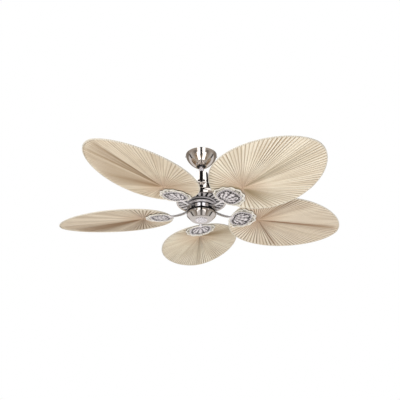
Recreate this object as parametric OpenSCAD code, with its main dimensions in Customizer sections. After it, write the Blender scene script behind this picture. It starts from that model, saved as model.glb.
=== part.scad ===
// Ceiling fan with five pleated palm-leaf blades on ornate cast irons.
// Millimetres, +Z up. The origin is the centre of the ceiling face, and the fan hangs below it.

/* [Ceiling mount] */
// Radius of the canopy's rim at the ceiling
canopy_r = 69; // [66:1:80]
// Height of the canopy
canopy_h = 60; // [56:1:62]
// Radius of the hole that the rod hangs through
canopy_hole_r = 20; // [18:0.5:22]
// Wall of the pressed shells
shell_wall = 1.4; // [1:0.1:1.8]
// Thickness of the hanger bracket's strip
bracket_t = 2.5; // [2:0.1:3]
// Width of the hanger bracket's strip
bracket_w = 36; // [30:1:40]
// Distance between the centres of the two ceiling slots
slot_spacing = 79.5; // [76:0.5:84]
// End-to-end length of a ceiling slot
slot_len = 14.3; // [8:0.1:16]
// Width of a ceiling slot
slot_w = 4.8; // [4:0.1:5.5]
// Radius of the hanger ball
ball_r = 23; // [22:0.5:24]
// Depth of the ball's centre below the ceiling
ball_drop = 26; // [25:0.5:28]
// Wall of the plastic seat between the ball and the bracket
seat_t = 2; // [1.5:0.1:2.5]

/* [Rod and coupling] */
// Outer diameter of the downrod
rod_d = 21; // [19:0.5:22]
// Wall of the downrod
rod_wall = 2; // [1.5:0.1:3]
// Height of the blade plane below the ceiling
blade_drop = 280; // [275:1:600]
// Radius of the cover over the rod coupling
cover_r = 31; // [29:0.5:33]
// Height of the cover
cover_h = 57; // [54:1:62]
// Diameter of the pins through the ball and the yoke
pin_d = 6; // [5:0.5:7]
// Wall of the yoke around the rod
yoke_wall = 6; // [5:0.5:7]

/* [Motor housing] */
// Radius of the housing's neck, where the cover stands
neck_r = 34; // [34:0.5:36]
// Radius of the housing where its cone meets the dish
waist_r = 62; // [58:1:66]
// Radius of the housing's dish
dish_r = 107; // [104:1:116]
// Height of the cone between the neck and the dish
cone_h = 53; // [50:1:60]
// Height of the domed top of the dish
dome_h = 24; // [22:1:30]
// Height of the dish's straight rim
rim_h = 11; // [10:0.5:14]
// Number of vents in the plate under the motor
vent_count = 24; // [12:1:28]
// Width of a vent
vent_w = 5; // [3:0.5:6]

/* [Motor] */
// Outer radius of the rotor
rotor_r = 78; // [74:1:80]
// Height of the rotor ring
rotor_h = 18; // [15:1:20]
// Radius of the stator
stator_r = 64; // [60:1:66]
// Gap of air between the stator and the rotor
air_gap = 0.6; // [0.4:0.1:1]
// Number of stator teeth
tooth_count = 12; // [8:1:12]
// Width of a stator tooth
tooth_w = 8; // [6:0.5:9]
// Radius of the fixed shaft
shaft_r = 8; // [7:0.5:9]
// Outer radius of the bearings
bearing_r = 17.5; // [16:0.5:19]
// Height of a bearing
bearing_h = 11; // [9:0.5:12]
// Outer radius of the rotor's neck, which carries the flywheel
rotor_neck_r = 44; // [43:0.5:46]

/* [Hub and switch housing] */
// Radius of the turning hub band
hub_r = 61; // [60:0.5:64]
// Height of the turning hub band
hub_h = 21; // [19:0.5:22]
// Height of the hub's top above the blade plane
hub_rise = 18; // [17:0.5:20]
// Thickness of the flywheel's disc
flywheel_t = 4; // [3:0.5:5]
// Height of the stepped ring above the hub
step_ring_h = 21.5; // [20:0.5:26]
// Running gap above the hub
upper_gap = 2.5; // [1.5:0.5:4]
// Running gap below the hub
lower_gap = 3; // [2:0.5:5]
// Radius of the switch bowl's top
bowl_r = 62; // [60:0.5:66]
// Height of the switch bowl
bowl_h = 32; // [30:0.5:40]
// Radius of the switch bowl's flat bottom
bowl_floor_r = 44; // [38:1:50]
// Radius of the cap at the bottom
cap_r = 26; // [23:1:30]
// Travel of the reversing slider
reverse_travel = 4; // [3:0.5:5]

/* [Blade irons] */
// Width of an iron's arm
arm_w = 12; // [10:1:16]
// Thickness of an iron's arm
arm_t = 5.5; // [5:0.5:7]
// Thickness of an iron's foot
foot_t = 6; // [5:0.5:7]
// Thickness of the ornate plate
plate_t = 4; // [3:0.5:5]
// Height of the raised shield on the plate
shield_t = 1.6; // [1:0.2:3]
// Distance from the axis to the plate's inner end
plate_in_r = 130; // [126:1:134]
// Length of the plate along the blade
plate_len = 120; // [116:1:126]
// Distance from the axis to the plate's widest place
plate_wide_r = 172; // [168:1:178]
// Width of the plate across the blade
plate_w = 136; // [124:1:140]
// Length and width of the raised shield
shield_w = 78; // [70:1:84]
// Number of piercings round the plate
pierce_count = 14; // [10:1:16]

/* [Leaves] */
// Distance from the axis to a leaf's tip
tip_r = 660; // [600:5:720]
// Distance from the axis to a leaf's root
root_r = 138; // [136:1:145]
// Distance from the axis to a leaf's widest place
wide_r = 371; // [350:1:400]
// Greatest width of a leaf
leaf_w = 366; // [320:2:370]
// Distance from the axis to the point that the pleats fan out from
fan_r = 252; // [251:1:270]
// Number of pleats in a leaf
pleats = 60; // [40:2:70]
// Height of a pleat from valley to ridge
pleat_h = 3.2; // [2:0.2:4]
// Thickness of the leaf itself
leaf_t = 2.4; // [1.6:0.2:3]
// Extra depth of the mid rib below the leaf
midrib_h = 2.4; // [1:0.2:4]
// Width of the binding along a leaf's edge
binding_w = 4; // [3:0.5:6]
// Pitch of a blade about its own length
pitch = 10.8; // [6:0.2:13]
// Rise of a blade towards its tip, in degrees
lift = 0.64; // [0:0.04:1.2]

/* [Hidden] */
$fn = 64;

// Clearances
fit_gap = 0.05;        // a shaft, pin or ring in its seat
free_gap = 0.3;        // pieces that pass close by each other
run_gap = 1;           // flat faces that turn past each other
screw_gap = 0.1;       // a screw in its hole
eps = 0.01;            // how far a cut runs past a face

// Five blades, the first one at the back
blade_count = 5;
first_azimuth = 90;
between_blades = first_azimuth + 180 / blade_count;

// Colours
nickel = [0.72, 0.70, 0.69];
dark_steel = [0.30, 0.30, 0.32];
zinc = [0.62, 0.63, 0.65];
cast = [0.66, 0.65, 0.66];
palm = [0.86, 0.78, 0.65];
bound_edge = [0.80, 0.73, 0.58];
copper = [0.72, 0.42, 0.22];
black = [0.08, 0.08, 0.09];
ivory = [0.90, 0.89, 0.85];

// Heights, from the ceiling down to the coupling
ball_z = -ball_drop;
rod_r = rod_d / 2;
rod_bore_r = rod_r + fit_gap;
ball_top = ball_z + 0.45 * ball_r;
ball_bottom = ball_z - 0.75 * ball_r;
ball_pin_z = ball_top - pin_d / 2 - 1;
pin_r = pin_d / 2;
rod_top = ball_pin_z + pin_d + 4;

// Seat and cup round the ball
seat_in_r = ball_r + free_gap;
seat_out_r = seat_in_r + seat_t;
cup_in_r = seat_out_r + free_gap;
cup_out_r = cup_in_r + bracket_t;
cup_top = ball_z - 5;
cup_bottom = ball_z - 17;
mouth_w = rod_d + 3;          // the side opening that the ball drops in through
ear_w = 12;
ear_h = 14;
web_w = bracket_w - 10;       // the two legs that carry the cup
bracket_hole_r = 14;
terminal_size = [9, 18, 16];
terminal_pitch = 5;
terminal_hole_r = 1.6;
key_w = 4;                    // the key on the bracket that stops the ball from turning
key_slot_w = 8;               // wide enough for the ball to tilt about the key
key_bottom = cup_bottom + 1;
key_h = 5.5;
key_reach = ball_r - 5.7;     // distance of the key's inner face from the axis
groove_reach = key_reach - 3.3;

// Heights, from the blade plane up to the coupling
plane_z = -blade_drop;
hub_top = plane_z + hub_rise;
hub_bottom = hub_top - hub_h;
foot_top = hub_top - flywheel_t;
foot_bottom = foot_top - foot_t;
step_bottom = hub_top + upper_gap;
step_top = step_bottom + step_ring_h;
vent_t = 2;
vent_top = step_top + vent_t;
lip_h = 2;
rim_bottom = step_top - lip_h;
rim_top = rim_bottom + rim_h;
dome_top = rim_top + dome_h;
neck_z = dome_top + cone_h;
cover_top = neck_z + cover_h;
cover_gap = 0.3;

// Motor
end_shell_t = 3;
lower_shell_bottom = vent_top + run_gap;
ring_bottom = lower_shell_bottom + end_shell_t;
ring_top = ring_bottom + rotor_h;
upper_shell_top = ring_top + end_shell_t;
bearing_seat_r = bearing_r + fit_gap;
boss_r = bearing_seat_r + 5;
upper_boss_top = upper_shell_top + bearing_h;
lower_bearing_top = lower_shell_bottom - 3;
stator_mid = (ring_bottom + ring_top) / 2;
stack_h = rotor_h - 4;
rotor_in_r = stator_r + air_gap;
coil_side = 2.5;
core_r = 38;                 // the ring that the teeth stand on
coil_in_r = core_r + 5;
coil_out_r = stator_r - 5;
neck_wall = 6;
neck_mid_r = rotor_neck_r - neck_wall / 2;

// Yoke: the rod above, the shaft below
yoke_r = rod_bore_r + yoke_wall;
yoke_flange_t = 5;
yoke_flange_r = neck_r - 5;
yoke_flange_top = neck_z - shell_wall;
yoke_top = neck_z + 0.7 * cover_h;
rod_bottom = neck_z + 3;
yoke_bottom = yoke_flange_top - yoke_flange_t - 12;
shaft_top = yoke_flange_top - 2;
yoke_pin_z = rod_bottom + 0.35 * (yoke_top - rod_bottom);
yoke_set_z = rod_bottom + 0.75 * (yoke_top - rod_bottom);
wire_r = 5;
collar_h = 9;
collar_t = 2;

// Switch housing
bowl_top = hub_bottom - lower_gap;
bowl_bottom = bowl_top - bowl_h;
bowl_band = 12;               // the straight band at the bowl's top
bowl_round = 4;               // radius of the round at the bowl's bottom
bowl_in_r = bowl_r - shell_wall;
plate_top = bowl_top - 1.5;
switch_plate_t = 2.5;
plate_bottom = plate_top - switch_plate_t;
skirt_r = bowl_in_r - free_gap;
skirt_t = 3;
skirt_bottom = bowl_top - bowl_band;
nut_h = 6;
shaft_bottom = plate_bottom - nut_h - 3;
shoulder_r = shaft_r + 3;
cap_t = 2.5;
cap_stem_r = cap_r - 6;
slider_w = 4;
slider_h = 4;
slider_z = plate_bottom - 3.2;
switch_w = 20;
switch_d = 13;
switch_h = 8;
switch_face = sqrt(pow(bowl_in_r, 2) - pow(switch_w / 2, 2)) - free_gap;

// Screws
m3 = 1.5;
m4 = 2;
m5 = 2.5;

// Blades, in a frame with X along the blade and Z square to it
leaf_half = (pleat_h + leaf_t) / 2;
binding_half = leaf_half + 0.2;
plate_top_z = -binding_half - screw_gap;
plate_low_z = plate_top_z - plate_t;
shield_low_z = plate_low_z - shield_t;
clamp_low_z = leaf_half + 0.2;
clamp_t = 2;
clamp_high_z = clamp_low_z + clamp_t;
plate_inner_len = plate_wide_r - plate_in_r;
plate_outer_len = plate_in_r + plate_len - plate_wide_r;
shield_r = plate_wide_r + 5;     // distance of the shield's middle from the axis
scallop = 0.035;                 // depth of the plate's waves, as a share of its size
scallops = 12;
pierce_at = 0.79;                // how far out the piercings lie
pierce_size = 0.14;
iron_boss_r = 9;
arm_end_r = plate_in_r + 8;
arm_end_z = plane_z - leaf_half - plate_t / 2 + 0.6;
arm_start_r = hub_r - 6;
arm_start_z = foot_top - arm_t / 2;
arm_curve = 2.2;              // how soon the arm has dropped
foot_w = 30;
band_t = 3;                   // wall of the hub band
foot_in_r = 22;
foot_out_r = sqrt(pow(hub_r - band_t - free_gap, 2) - pow(foot_w / 2, 2));
foot_screw_in = 32;
foot_screw_out = 50;
foot_screw_r = [foot_screw_in, foot_screw_out];
blade_hole = m4 + 0.3;
screw_in_r = 160;                // the three screws of a blade
screw_out_r = 200;
screw_side = 22;
blade_screw_at = [[screw_in_r, 0], [screw_out_r, screw_side], [screw_out_r, -screw_side]];
clamp_in_r = 150;
clamp_len = 68;
clamp_w = 64;
screw_proud = 5;                 // how far a blade screw stands above its clamp plate
nut_w = 4;
blade_nut_h = 3.2;
root_power = 2.2;             // 2 is an ellipse, and more is squarer
tip_power = 1.8;
leaf_rings = [0.2, 0.55, 1];
binding_steps = 72;

// ---- Shapes that repeat ----

module tube(r_out, r_in, z_low, z_high) {
    difference() {
        translate([0, 0, z_low]) cylinder(r = r_out, h = z_high - z_low);
        translate([0, 0, z_low - eps]) cylinder(r = r_in, h = z_high - z_low + 2 * eps);
    }
}

// A rod along X, from x_low to x_high
module rod_x(r, x_low, x_high) {
    translate([x_low, 0, 0]) rotate([0, 90, 0]) cylinder(r = r, h = x_high - x_low);
}

// A screw whose shank points up from its head's seat at z = 0
module screw_up(r, shank, head_h) {
    cylinder(r = r, h = shank, $fn = 24);
    translate([0, 0, -head_h]) cylinder(r = 1.9 * r, h = head_h, $fn = 24);
}

module around(count, start = 0) {
    for (i = [0 : count - 1])
        rotate([0, 0, start + i * 360 / count]) children();
}

// Turn to blade k, still level
module at_blade(k) {
    rotate([0, 0, first_azimuth + k * 360 / blade_count]) children();
}

// The blade's own frame: level along X, pitched and lifted like the leaf
module blade_frame() {
    translate([0, 0, plane_z]) rotate([-pitch, -lift, 0]) children();
}

module every_blade() {
    for (k = [0 : blade_count - 1])
        at_blade(k) blade_frame() children();
}

// ---- Fixed to the ceiling ----

canopy_cut = 68 / 60 * canopy_h;     // where the canopy's curve would close
function canopy_at(depth) = canopy_r * pow(1 - pow(depth / canopy_cut, 1.6), 0.625);
function canopy_side(shrink, deepest) =
    [for (i = [0 : 14]) [canopy_at(deepest * i / 14) - shrink, -deepest * i / 14]];

module canopy() {
    floor_depth = canopy_h - shell_wall;
    color(nickel) difference() {
        rotate_extrude() polygon(concat([[0, 0]], canopy_side(0, canopy_h), [[0, -canopy_h]]));
        translate([0, 0, eps]) rotate_extrude()
            polygon(concat([[0, 0]], canopy_side(shell_wall, floor_depth), [[0, -floor_depth]]));
        translate([0, 0, -canopy_h - 1]) cylinder(r = canopy_hole_r, h = shell_wall + 2);
        translate([0, 0, screw_z]) rod_x(m4 + screw_gap, -canopy_r - 1, canopy_r + 1);
    }
}

screw_z = -9;
ear_face = canopy_at(ear_h) - shell_wall - free_gap;   // outer face of the bracket's ears

module hanger_bracket() {
    color(zinc) difference() {
        union() {
            translate([-ear_face, -bracket_w / 2, -bracket_t])
                cube([2 * ear_face, bracket_w, bracket_t]);
            for (side = [-1, 1]) {
                translate([side * (ear_face - bracket_t / 2), 0, -ear_h / 2])
                    cube([bracket_t, ear_w, ear_h], center = true);
                translate([side * (cup_in_r + bracket_t / 2), 0, (cup_top - 6) / 2])
                    cube([bracket_t, web_w, 6 - cup_top], center = true);
            }
            intersection() {
                translate([0, 0, ball_z]) sphere(r = cup_out_r);
                tube(2 * ball_r, key_reach - 3, cup_bottom, cup_top);
            }
        }
        difference() {
            translate([0, 0, ball_z]) sphere(r = cup_in_r);
            translate([-key_w / 2, -cup_out_r, key_bottom]) cube([key_w, cup_out_r - key_reach, key_h]);
        }
        translate([0, 0, -bracket_t - 1]) cylinder(r = bracket_hole_r, h = bracket_t + 2);
        translate([-mouth_w / 2, 0, cup_bottom - 1]) cube([mouth_w, 2 * ball_r, cup_top - cup_bottom + 2]);
        for (side = [-1, 1]) {
            translate([side * slot_spacing / 2, 0, -bracket_t - 1]) ceiling_slot();
            rotate([0, 0, 90 - 90 * side]) translate([0, 0, screw_z])
                rod_x(m4 + screw_gap, ear_face - bracket_t - 1, ear_face + 1);
        }
    }
}

module ceiling_slot() {
    reach = (slot_len - slot_w) / 2;
    for (end = [-1, 1])
        translate([end * reach, 0, 0]) cylinder(d = slot_w, h = bracket_t + 2);
    translate([-reach, -slot_w / 2, 0]) cube([2 * reach, slot_w, bracket_t + 2]);
}

module canopy_screws() {
    seat = canopy_at(-screw_z - 1.9 * m4) + fit_gap;
    color(dark_steel) for (turn = [0, 180])
        rotate([0, 0, turn]) translate([0, 0, screw_z]) {
            rod_x(m4, ear_face - bracket_t - 2, seat);
            rod_x(1.9 * m4, seat, seat + 2);
        }
}

module terminal_block() {
    inner = cup_in_r + bracket_t;
    color(ivory) difference() {
        translate([inner, -terminal_size[1] / 2, cup_top - 1]) cube(terminal_size);
        for (i = [-1, 0, 1])
            translate([inner + terminal_size[0] / 2, i * terminal_pitch, cup_top + 6])
                cylinder(r = terminal_hole_r, h = terminal_size[2], $fn = 24);
    }
}

// ---- The seat between the bracket's cup and the ball ----

module ball_seat() {
    color(ivory) difference() {
        intersection() {
            translate([0, 0, ball_z]) sphere(r = seat_out_r);
            tube(2 * ball_r, 2, cup_bottom, cup_top);
        }
        translate([0, 0, ball_z]) sphere(r = seat_in_r);
        translate([-mouth_w / 2, 0, cup_bottom - 1]) cube([mouth_w, 2 * ball_r, cup_top - cup_bottom + 2]);
        translate([-key_slot_w / 2, -cup_out_r, cup_bottom - 1])
            cube([key_slot_w, cup_out_r - key_reach + 4, key_h + 2 + run_gap]);
    }
}

// ---- Hanging from the ball ----

module hanger_ball() {
    color(black) difference() {
        intersection() {
            translate([0, 0, ball_z]) sphere(r = ball_r);
            tube(2 * ball_r, rod_bore_r, ball_bottom, ball_top);
        }
        translate([0, 0, ball_pin_z]) rod_x(pin_r + screw_gap, -ball_r - 1, ball_r + 1);
        translate([-ball_r - 1, -pin_r - screw_gap, ball_pin_z])
            cube([2 * ball_r + 2, pin_d + 2 * screw_gap, ball_r]);
        rotate([0, 0, 90]) translate([0, 0, ball_z]) rod_x(m5 + screw_gap, rod_r - 1, ball_r + 1);
        translate([-key_slot_w / 2, -2 * ball_r, ball_bottom - 1])
            cube([key_slot_w, 2 * ball_r - groove_reach, ball_z - ball_bottom - 1]);
    }
}

module ball_pin() {
    reach = sqrt(pow(ball_r, 2) - pow(ball_pin_z - ball_z + pin_r, 2)) - 0.5;
    color(zinc) translate([0, 0, ball_pin_z]) rod_x(pin_r, -reach, reach);
}

module ball_set_screw() {
    color(dark_steel) rotate([0, 0, 90]) translate([0, 0, ball_z])
        rod_x(m5, rod_r + fit_gap, ball_r - 1.5);
}

module downrod() {
    color(nickel) difference() {
        tube(rod_r, rod_r - rod_wall, rod_bottom, rod_top);
        for (z = [ball_pin_z, yoke_pin_z])
            translate([0, 0, z]) rod_x(pin_r + screw_gap, -rod_d, rod_d);
    }
}

module rod_collar() {
    color(nickel) difference() {
        union() {
            tube(rod_r + collar_t, rod_bore_r, cover_top + cover_gap, cover_top + collar_h);
            for (z = [cover_top + cover_gap, cover_top + collar_h - 2])
                tube(rod_r + collar_t + 1, rod_bore_r, z, z + 2);
        }
        rotate([0, 0, -90]) translate([0, 0, cover_top + collar_h / 2]) rod_x(m3, rod_r - 1, rod_d);
    }
}

cover_round = 2;                 // round at the cover's top edge
cover_bead = 2.4;                // radius of the bead at its foot

module yoke_cover() {
    color(nickel) difference() {
        union() {
            translate([0, 0, neck_z + fit_gap]) cylinder(r = cover_r, h = cover_h - cover_round - fit_gap);
            translate([0, 0, cover_top - cover_round]) cylinder(r = cover_r - cover_round, h = cover_round);
            translate([0, 0, cover_top - cover_round]) rotate_extrude()
                translate([cover_r - cover_round, 0]) circle(r = cover_round, $fn = 32);
            translate([0, 0, neck_z + cover_bead]) rotate_extrude()
                translate([cover_r, 0]) circle(r = cover_bead - fit_gap, $fn = 32);
        }
        translate([0, 0, neck_z - 1]) cylinder(r = cover_r - shell_wall, h = cover_h - shell_wall - 1);
        translate([0, 0, cover_top - 5]) cylinder(r = rod_r + free_gap, h = 10);
    }
}

module motor_yoke() {
    color(cast) difference() {
        union() {
            translate([0, 0, yoke_bottom]) cylinder(r = shaft_r + 6, h = yoke_flange_top - yoke_bottom);
            translate([0, 0, yoke_flange_top - yoke_flange_t])
                cylinder(r = yoke_flange_r, h = yoke_flange_t);
            translate([0, 0, yoke_flange_top - eps])
                cylinder(r = yoke_r, h = yoke_top - yoke_flange_top + eps);
        }
        translate([0, 0, rod_bottom - fit_gap]) cylinder(r = rod_bore_r, h = yoke_top - rod_bottom + 1);
        translate([0, 0, yoke_bottom - 1])
            cylinder(r = shaft_r + fit_gap, h = shaft_top + fit_gap - yoke_bottom + 1);
        translate([0, 0, shaft_top - 1]) cylinder(r = wire_r, h = rod_bottom - shaft_top + 2);
        translate([0, 0, yoke_pin_z]) rod_x(pin_r + screw_gap, -yoke_r - 1, yoke_r + 1);
        for (turn = [90, -90])
            rotate([0, 0, turn]) translate([0, 0, yoke_set_z]) rod_x(m5 + screw_gap, rod_r - 1, yoke_r + 1);
        around(3, 30) translate([yoke_screw_r, 0, yoke_flange_top - yoke_flange_t - 1])
            cylinder(r = m4 + screw_gap, h = yoke_flange_t + 2);
    }
}

yoke_screw_r = (yoke_r + yoke_flange_r) / 2;
pin_end = yoke_r + 5;

module yoke_pin() {
    color(zinc) translate([0, 0, yoke_pin_z]) {
        rod_x(pin_r, -yoke_r - 1, pin_end);
        rod_x(pin_r + 1.5, -yoke_r - 3, -yoke_r);
    }
}

module pin_clip() {
    color(dark_steel) translate([0, 0, yoke_pin_z]) difference() {
        rod_x(pin_r + 2.5, yoke_r + fit_gap, yoke_r + 1.2);
        rod_x(pin_r + fit_gap, yoke_r - 1, yoke_r + 3);
        translate([yoke_r - 1, -pin_r / 2, 0]) cube([4, pin_r, 2 * pin_d]);
    }
}

module yoke_set_screws() {
    color(dark_steel) for (turn = [90, -90])
        rotate([0, 0, turn]) translate([0, 0, yoke_set_z]) rod_x(m5, rod_r + fit_gap, yoke_r + 1.5);
}

// ---- Fixed shaft, stator and housing ----

module motor_shaft() {
    color(zinc) difference() {
        union() {
            translate([0, 0, shaft_bottom]) cylinder(r = shaft_r, h = shaft_top - shaft_bottom);
            translate([0, 0, plate_top]) cylinder(r = shoulder_r, h = 3);
        }
        translate([0, 0, shaft_bottom - 1]) cylinder(r = wire_r, h = shaft_top - shaft_bottom + 2);
    }
}

module stator_core() {
    color(dark_steel) difference() {
        union() {
            translate([0, 0, stator_mid - stack_h / 2]) cylinder(r = core_r, h = stack_h);
            around(tooth_count) translate([core_r - 4, -tooth_w / 2, stator_mid - stack_h / 2])
                cube([stator_r - 2 - core_r + 4, tooth_w, stack_h]);
            intersection() {
                tube(stator_r, stator_r - 3, stator_mid - stack_h / 2, stator_mid + stack_h / 2);
                around(tooth_count) translate([stator_r - 6, -tooth_w * 0.9, stator_mid - stack_h])
                    cube([12, tooth_w * 1.8, 2 * stack_h]);
            }
        }
        translate([0, 0, stator_mid - stack_h]) cylinder(r = shaft_r + fit_gap, h = 2 * stack_h);
    }
}

module stator_windings() {
    coil_w = tooth_w + 2 * coil_side;
    coil_h = stack_h + 3;
    color(copper) around(tooth_count) difference() {
        translate([coil_in_r, -coil_w / 2, stator_mid - coil_h / 2])
            cube([coil_out_r - coil_in_r, coil_w, coil_h]);
        translate([coil_in_r - 1, -tooth_w / 2 - screw_gap, stator_mid - stack_h / 2 - screw_gap])
            cube([coil_out_r - coil_in_r + 2, tooth_w + 2 * screw_gap, stack_h + 2 * screw_gap]);
    }
}

// Outline of the bell: neck, cone, domed dish and straight rim
function bell_side(shrink) = concat(
    [[neck_r - shrink, neck_z], [neck_r - shrink, neck_z - 4]],
    [[waist_r - shrink, dome_top]],
    [for (t = [10 : 10 : 90])
        [waist_r - shrink + (dish_r - waist_r) * sin(t), rim_top + dome_h * cos(t) - shrink * cos(t)]],
    [[dish_r - shrink, rim_bottom]]
);

module motor_housing() {
    color(nickel) difference() {
        rotate_extrude($fn = 96) polygon(concat([[0, neck_z]], bell_side(0), [[0, rim_bottom]]));
        rotate_extrude($fn = 96) polygon(concat(
            [[0, neck_z - shell_wall]],
            [for (p = bell_side(shell_wall)) [p[0], min(p[1], neck_z - shell_wall)]],
            [[dish_r - shell_wall, rim_bottom - 1], [0, rim_bottom - 1]]));
        translate([0, 0, neck_z - 5]) cylinder(r = yoke_r + free_gap, h = 10);
        around(3, 30) translate([yoke_screw_r, 0, neck_z - 5]) cylinder(r = m4 + screw_gap, h = 10);
        around(4, 45) translate([0, 0, vent_screw_z]) rod_x(m3 + screw_gap, dish_r - 6, dish_r + 1);
    }
}

vent_flange_r = dish_r - shell_wall - free_gap;
vent_screw_z = vent_top + 3;

module housing_screws() {
    color(dark_steel) around(3, 30) translate([yoke_screw_r, 0, neck_z]) mirror([0, 0, 1])
        screw_up(m4, yoke_flange_t + shell_wall - 1, 2.5);
}

vent_in = hub_r + 5;
vent_out = dish_r - 11;
vent_flange_t = 2.2;
vent_flange_h = 6;

module vent_plate() {
    color(cast) difference() {
        union() {
            tube(vent_flange_r, rotor_neck_r + 5, step_top, vent_top);
            tube(vent_flange_r, vent_flange_r - vent_flange_t, step_top, vent_top + vent_flange_h);
        }
        around(vent_count) {
            translate([vent_in, -vent_w / 2, step_top - 1]) cube([vent_out - vent_in, vent_w, vent_t + 2]);
            for (r = [vent_in, vent_out])
                translate([r, 0, step_top - 1]) cylinder(d = vent_w, h = vent_t + 2, $fn = 24);
        }
        around(4, 45) translate([0, 0, vent_screw_z]) rod_x(m3 + screw_gap, vent_flange_r - 4, dish_r);
    }
}

module vent_plate_screws() {
    color(dark_steel) around(4, 45) translate([0, 0, vent_screw_z]) {
        rod_x(m3, vent_flange_r - 3.5, dish_r);
        rod_x(2 * m3, dish_r, dish_r + 1.5);
    }
}

module step_ring() {
    in_r = rotor_neck_r + 5;
    neck = in_r + 5;
    step_r = hub_r - 1;
    color(nickel) rotate_extrude() difference() {
        polygon([
            [in_r, step_top - fit_gap], [neck + 4, step_top - fit_gap], [neck + 4, step_top - 2.5],
            [neck, step_top - 4.5], [neck, step_top - 8], [neck + 3, step_top - 10],
            [step_r, step_top - 12], [step_r, step_bottom + 2], [step_r - 1.5, step_bottom],
            [in_r, step_bottom]]);
        translate([step_r + 1, (step_top - 12 + step_bottom + 2) / 2]) circle(r = 1.8, $fn = 32);
    }
}

module switch_plate() {
    color(zinc) difference() {
        union() {
            tube(skirt_r, shaft_r + fit_gap, plate_bottom, plate_top);
            tube(skirt_r, skirt_r - skirt_t, skirt_bottom, plate_bottom + eps);
        }
        translate([-switch_w / 2 - 2, switch_face - 8, skirt_bottom - 1])
            cube([switch_w + 4, 20, plate_bottom - skirt_bottom + 1]);
        around(3) translate([0, 0, bowl_screw_z]) rod_x(m3 + screw_gap, skirt_r - skirt_t - 1, skirt_r + 1);
    }
}

bowl_screw_z = (plate_bottom + skirt_bottom) / 2;

module shaft_nut() {
    color(zinc) difference() {
        translate([0, 0, plate_bottom - nut_h]) cylinder(r = shaft_r + 5, h = nut_h, $fn = 6);
        translate([0, 0, plate_bottom - nut_h - 1]) cylinder(r = shaft_r + fit_gap, h = nut_h + 2);
    }
}

// Outline of the bowl: a straight band, then a cone in to the rounded edge of the flat floor
function bowl_side(shrink, floor_z) =
    let (
        corner = [bowl_floor_r - shrink, floor_z],
        band = [bowl_r - shrink, bowl_top - bowl_band],
        up = (band - corner) / norm(band - corner)
    )
    concat(
        [[band[0], bowl_top + eps], band],
        [for (t = [0 : 0.25 : 1])
            corner + bowl_round * pow(1 - t, 2) * up + bowl_round * pow(t, 2) * [-1, 0]]);

// Inner radius of the bowl's cone at a height
function bowl_in_at(z) = bowl_in_r
    - (bowl_r - bowl_floor_r) * (bowl_top - bowl_band - z) / (bowl_h - bowl_band - shell_wall);

module switch_bowl() {
    color(nickel) difference() {
        intersection() {
            rotate_extrude() polygon(concat(
                [[0, bowl_top + eps]], bowl_side(0, bowl_bottom), [[0, bowl_bottom]]));
            translate([0, 0, bowl_bottom]) cylinder(r = 2 * bowl_r, h = bowl_h);
        }
        rotate_extrude() polygon(concat(
            [[0, bowl_top + 1], [bowl_in_r, bowl_top + 1]],
            bowl_side(shell_wall, bowl_bottom + shell_wall),
            [[0, bowl_bottom + shell_wall]]));
        translate([0, 0, bowl_bottom - 1]) cylinder(r = cap_stem_r + fit_gap, h = shell_wall + 2);
        around(3) translate([0, 0, bowl_screw_z]) rod_x(m3 + screw_gap, bowl_in_r - 3, bowl_r + 1);
        translate([-slider_w / 2 - reverse_travel / 2 - 0.5, bowl_in_r - 5, slider_z - slider_h / 2 - 0.4])
            cube([slider_w + reverse_travel + 1, 10, slider_h + 0.8]);
    }
}

module bowl_screws() {
    color(dark_steel) around(3) translate([0, 0, bowl_screw_z]) {
        rod_x(m3, skirt_r - skirt_t, bowl_r);
        rod_x(2 * m3, bowl_r, bowl_r + 1.5);
    }
}

module bottom_cap() {
    color(cast) union() {
        translate([0, 0, bowl_bottom - cap_t]) cylinder(r1 = cap_r - 1.5, r2 = cap_r, h = cap_t - fit_gap);
        translate([0, 0, bowl_bottom - cap_t / 2]) cylinder(r = cap_stem_r, h = shell_wall + cap_t);
    }
}

capacitor_size = [15, 32, 16];
capacitor_room = bowl_in_at(plate_bottom - capacitor_size[2]) - run_gap;
capacitor_end = sqrt(pow(capacitor_room, 2) - pow(capacitor_size[1] / 2, 2));

module capacitor() {
    color(black) translate([-capacitor_end, -capacitor_size[1] / 2, plate_bottom - capacitor_size[2]])
        cube(capacitor_size);
}

module reverse_switch() {
    reach = slider_w + reverse_travel;
    color(black) difference() {
        translate([-switch_w / 2, switch_face - switch_d, plate_bottom - switch_h])
            cube([switch_w, switch_d, switch_h]);
        translate([-reach / 2 - free_gap, switch_face - 7, slider_z - slider_h / 2 - free_gap])
            cube([reach + 2 * free_gap, 8, slider_h + 2 * free_gap]);
    }
}

// The slider rests at the -X end of its slot
module reverse_slider() {
    color(ivory) translate([-reverse_travel / 2 - slider_w / 2, switch_face - 6.7, slider_z - slider_h / 2])
        cube([slider_w, bowl_r + 3 - switch_face + 6.7, slider_h]);
}

// ---- Turning on the shaft ----

module rotor_upper_shell() {
    color(cast) difference() {
        union() {
            translate([0, 0, ring_top]) cylinder(r = rotor_r, h = end_shell_t);
            translate([0, 0, ring_top]) cylinder(r = boss_r, h = upper_boss_top - ring_top);
        }
        translate([0, 0, ring_top - 1]) cylinder(r = shaft_r + 3, h = bearing_h + end_shell_t + 2);
        translate([0, 0, upper_shell_top]) cylinder(r = bearing_seat_r, h = bearing_h + 1);
        around(blade_count, between_blades) translate([rotor_screw_r, 0, ring_top - 1])
            cylinder(r = m3 + screw_gap, h = end_shell_t + 2);
    }
}

rotor_screw_r = (rotor_in_r + rotor_r) / 2;
neck_screw_depth = 12;

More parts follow.
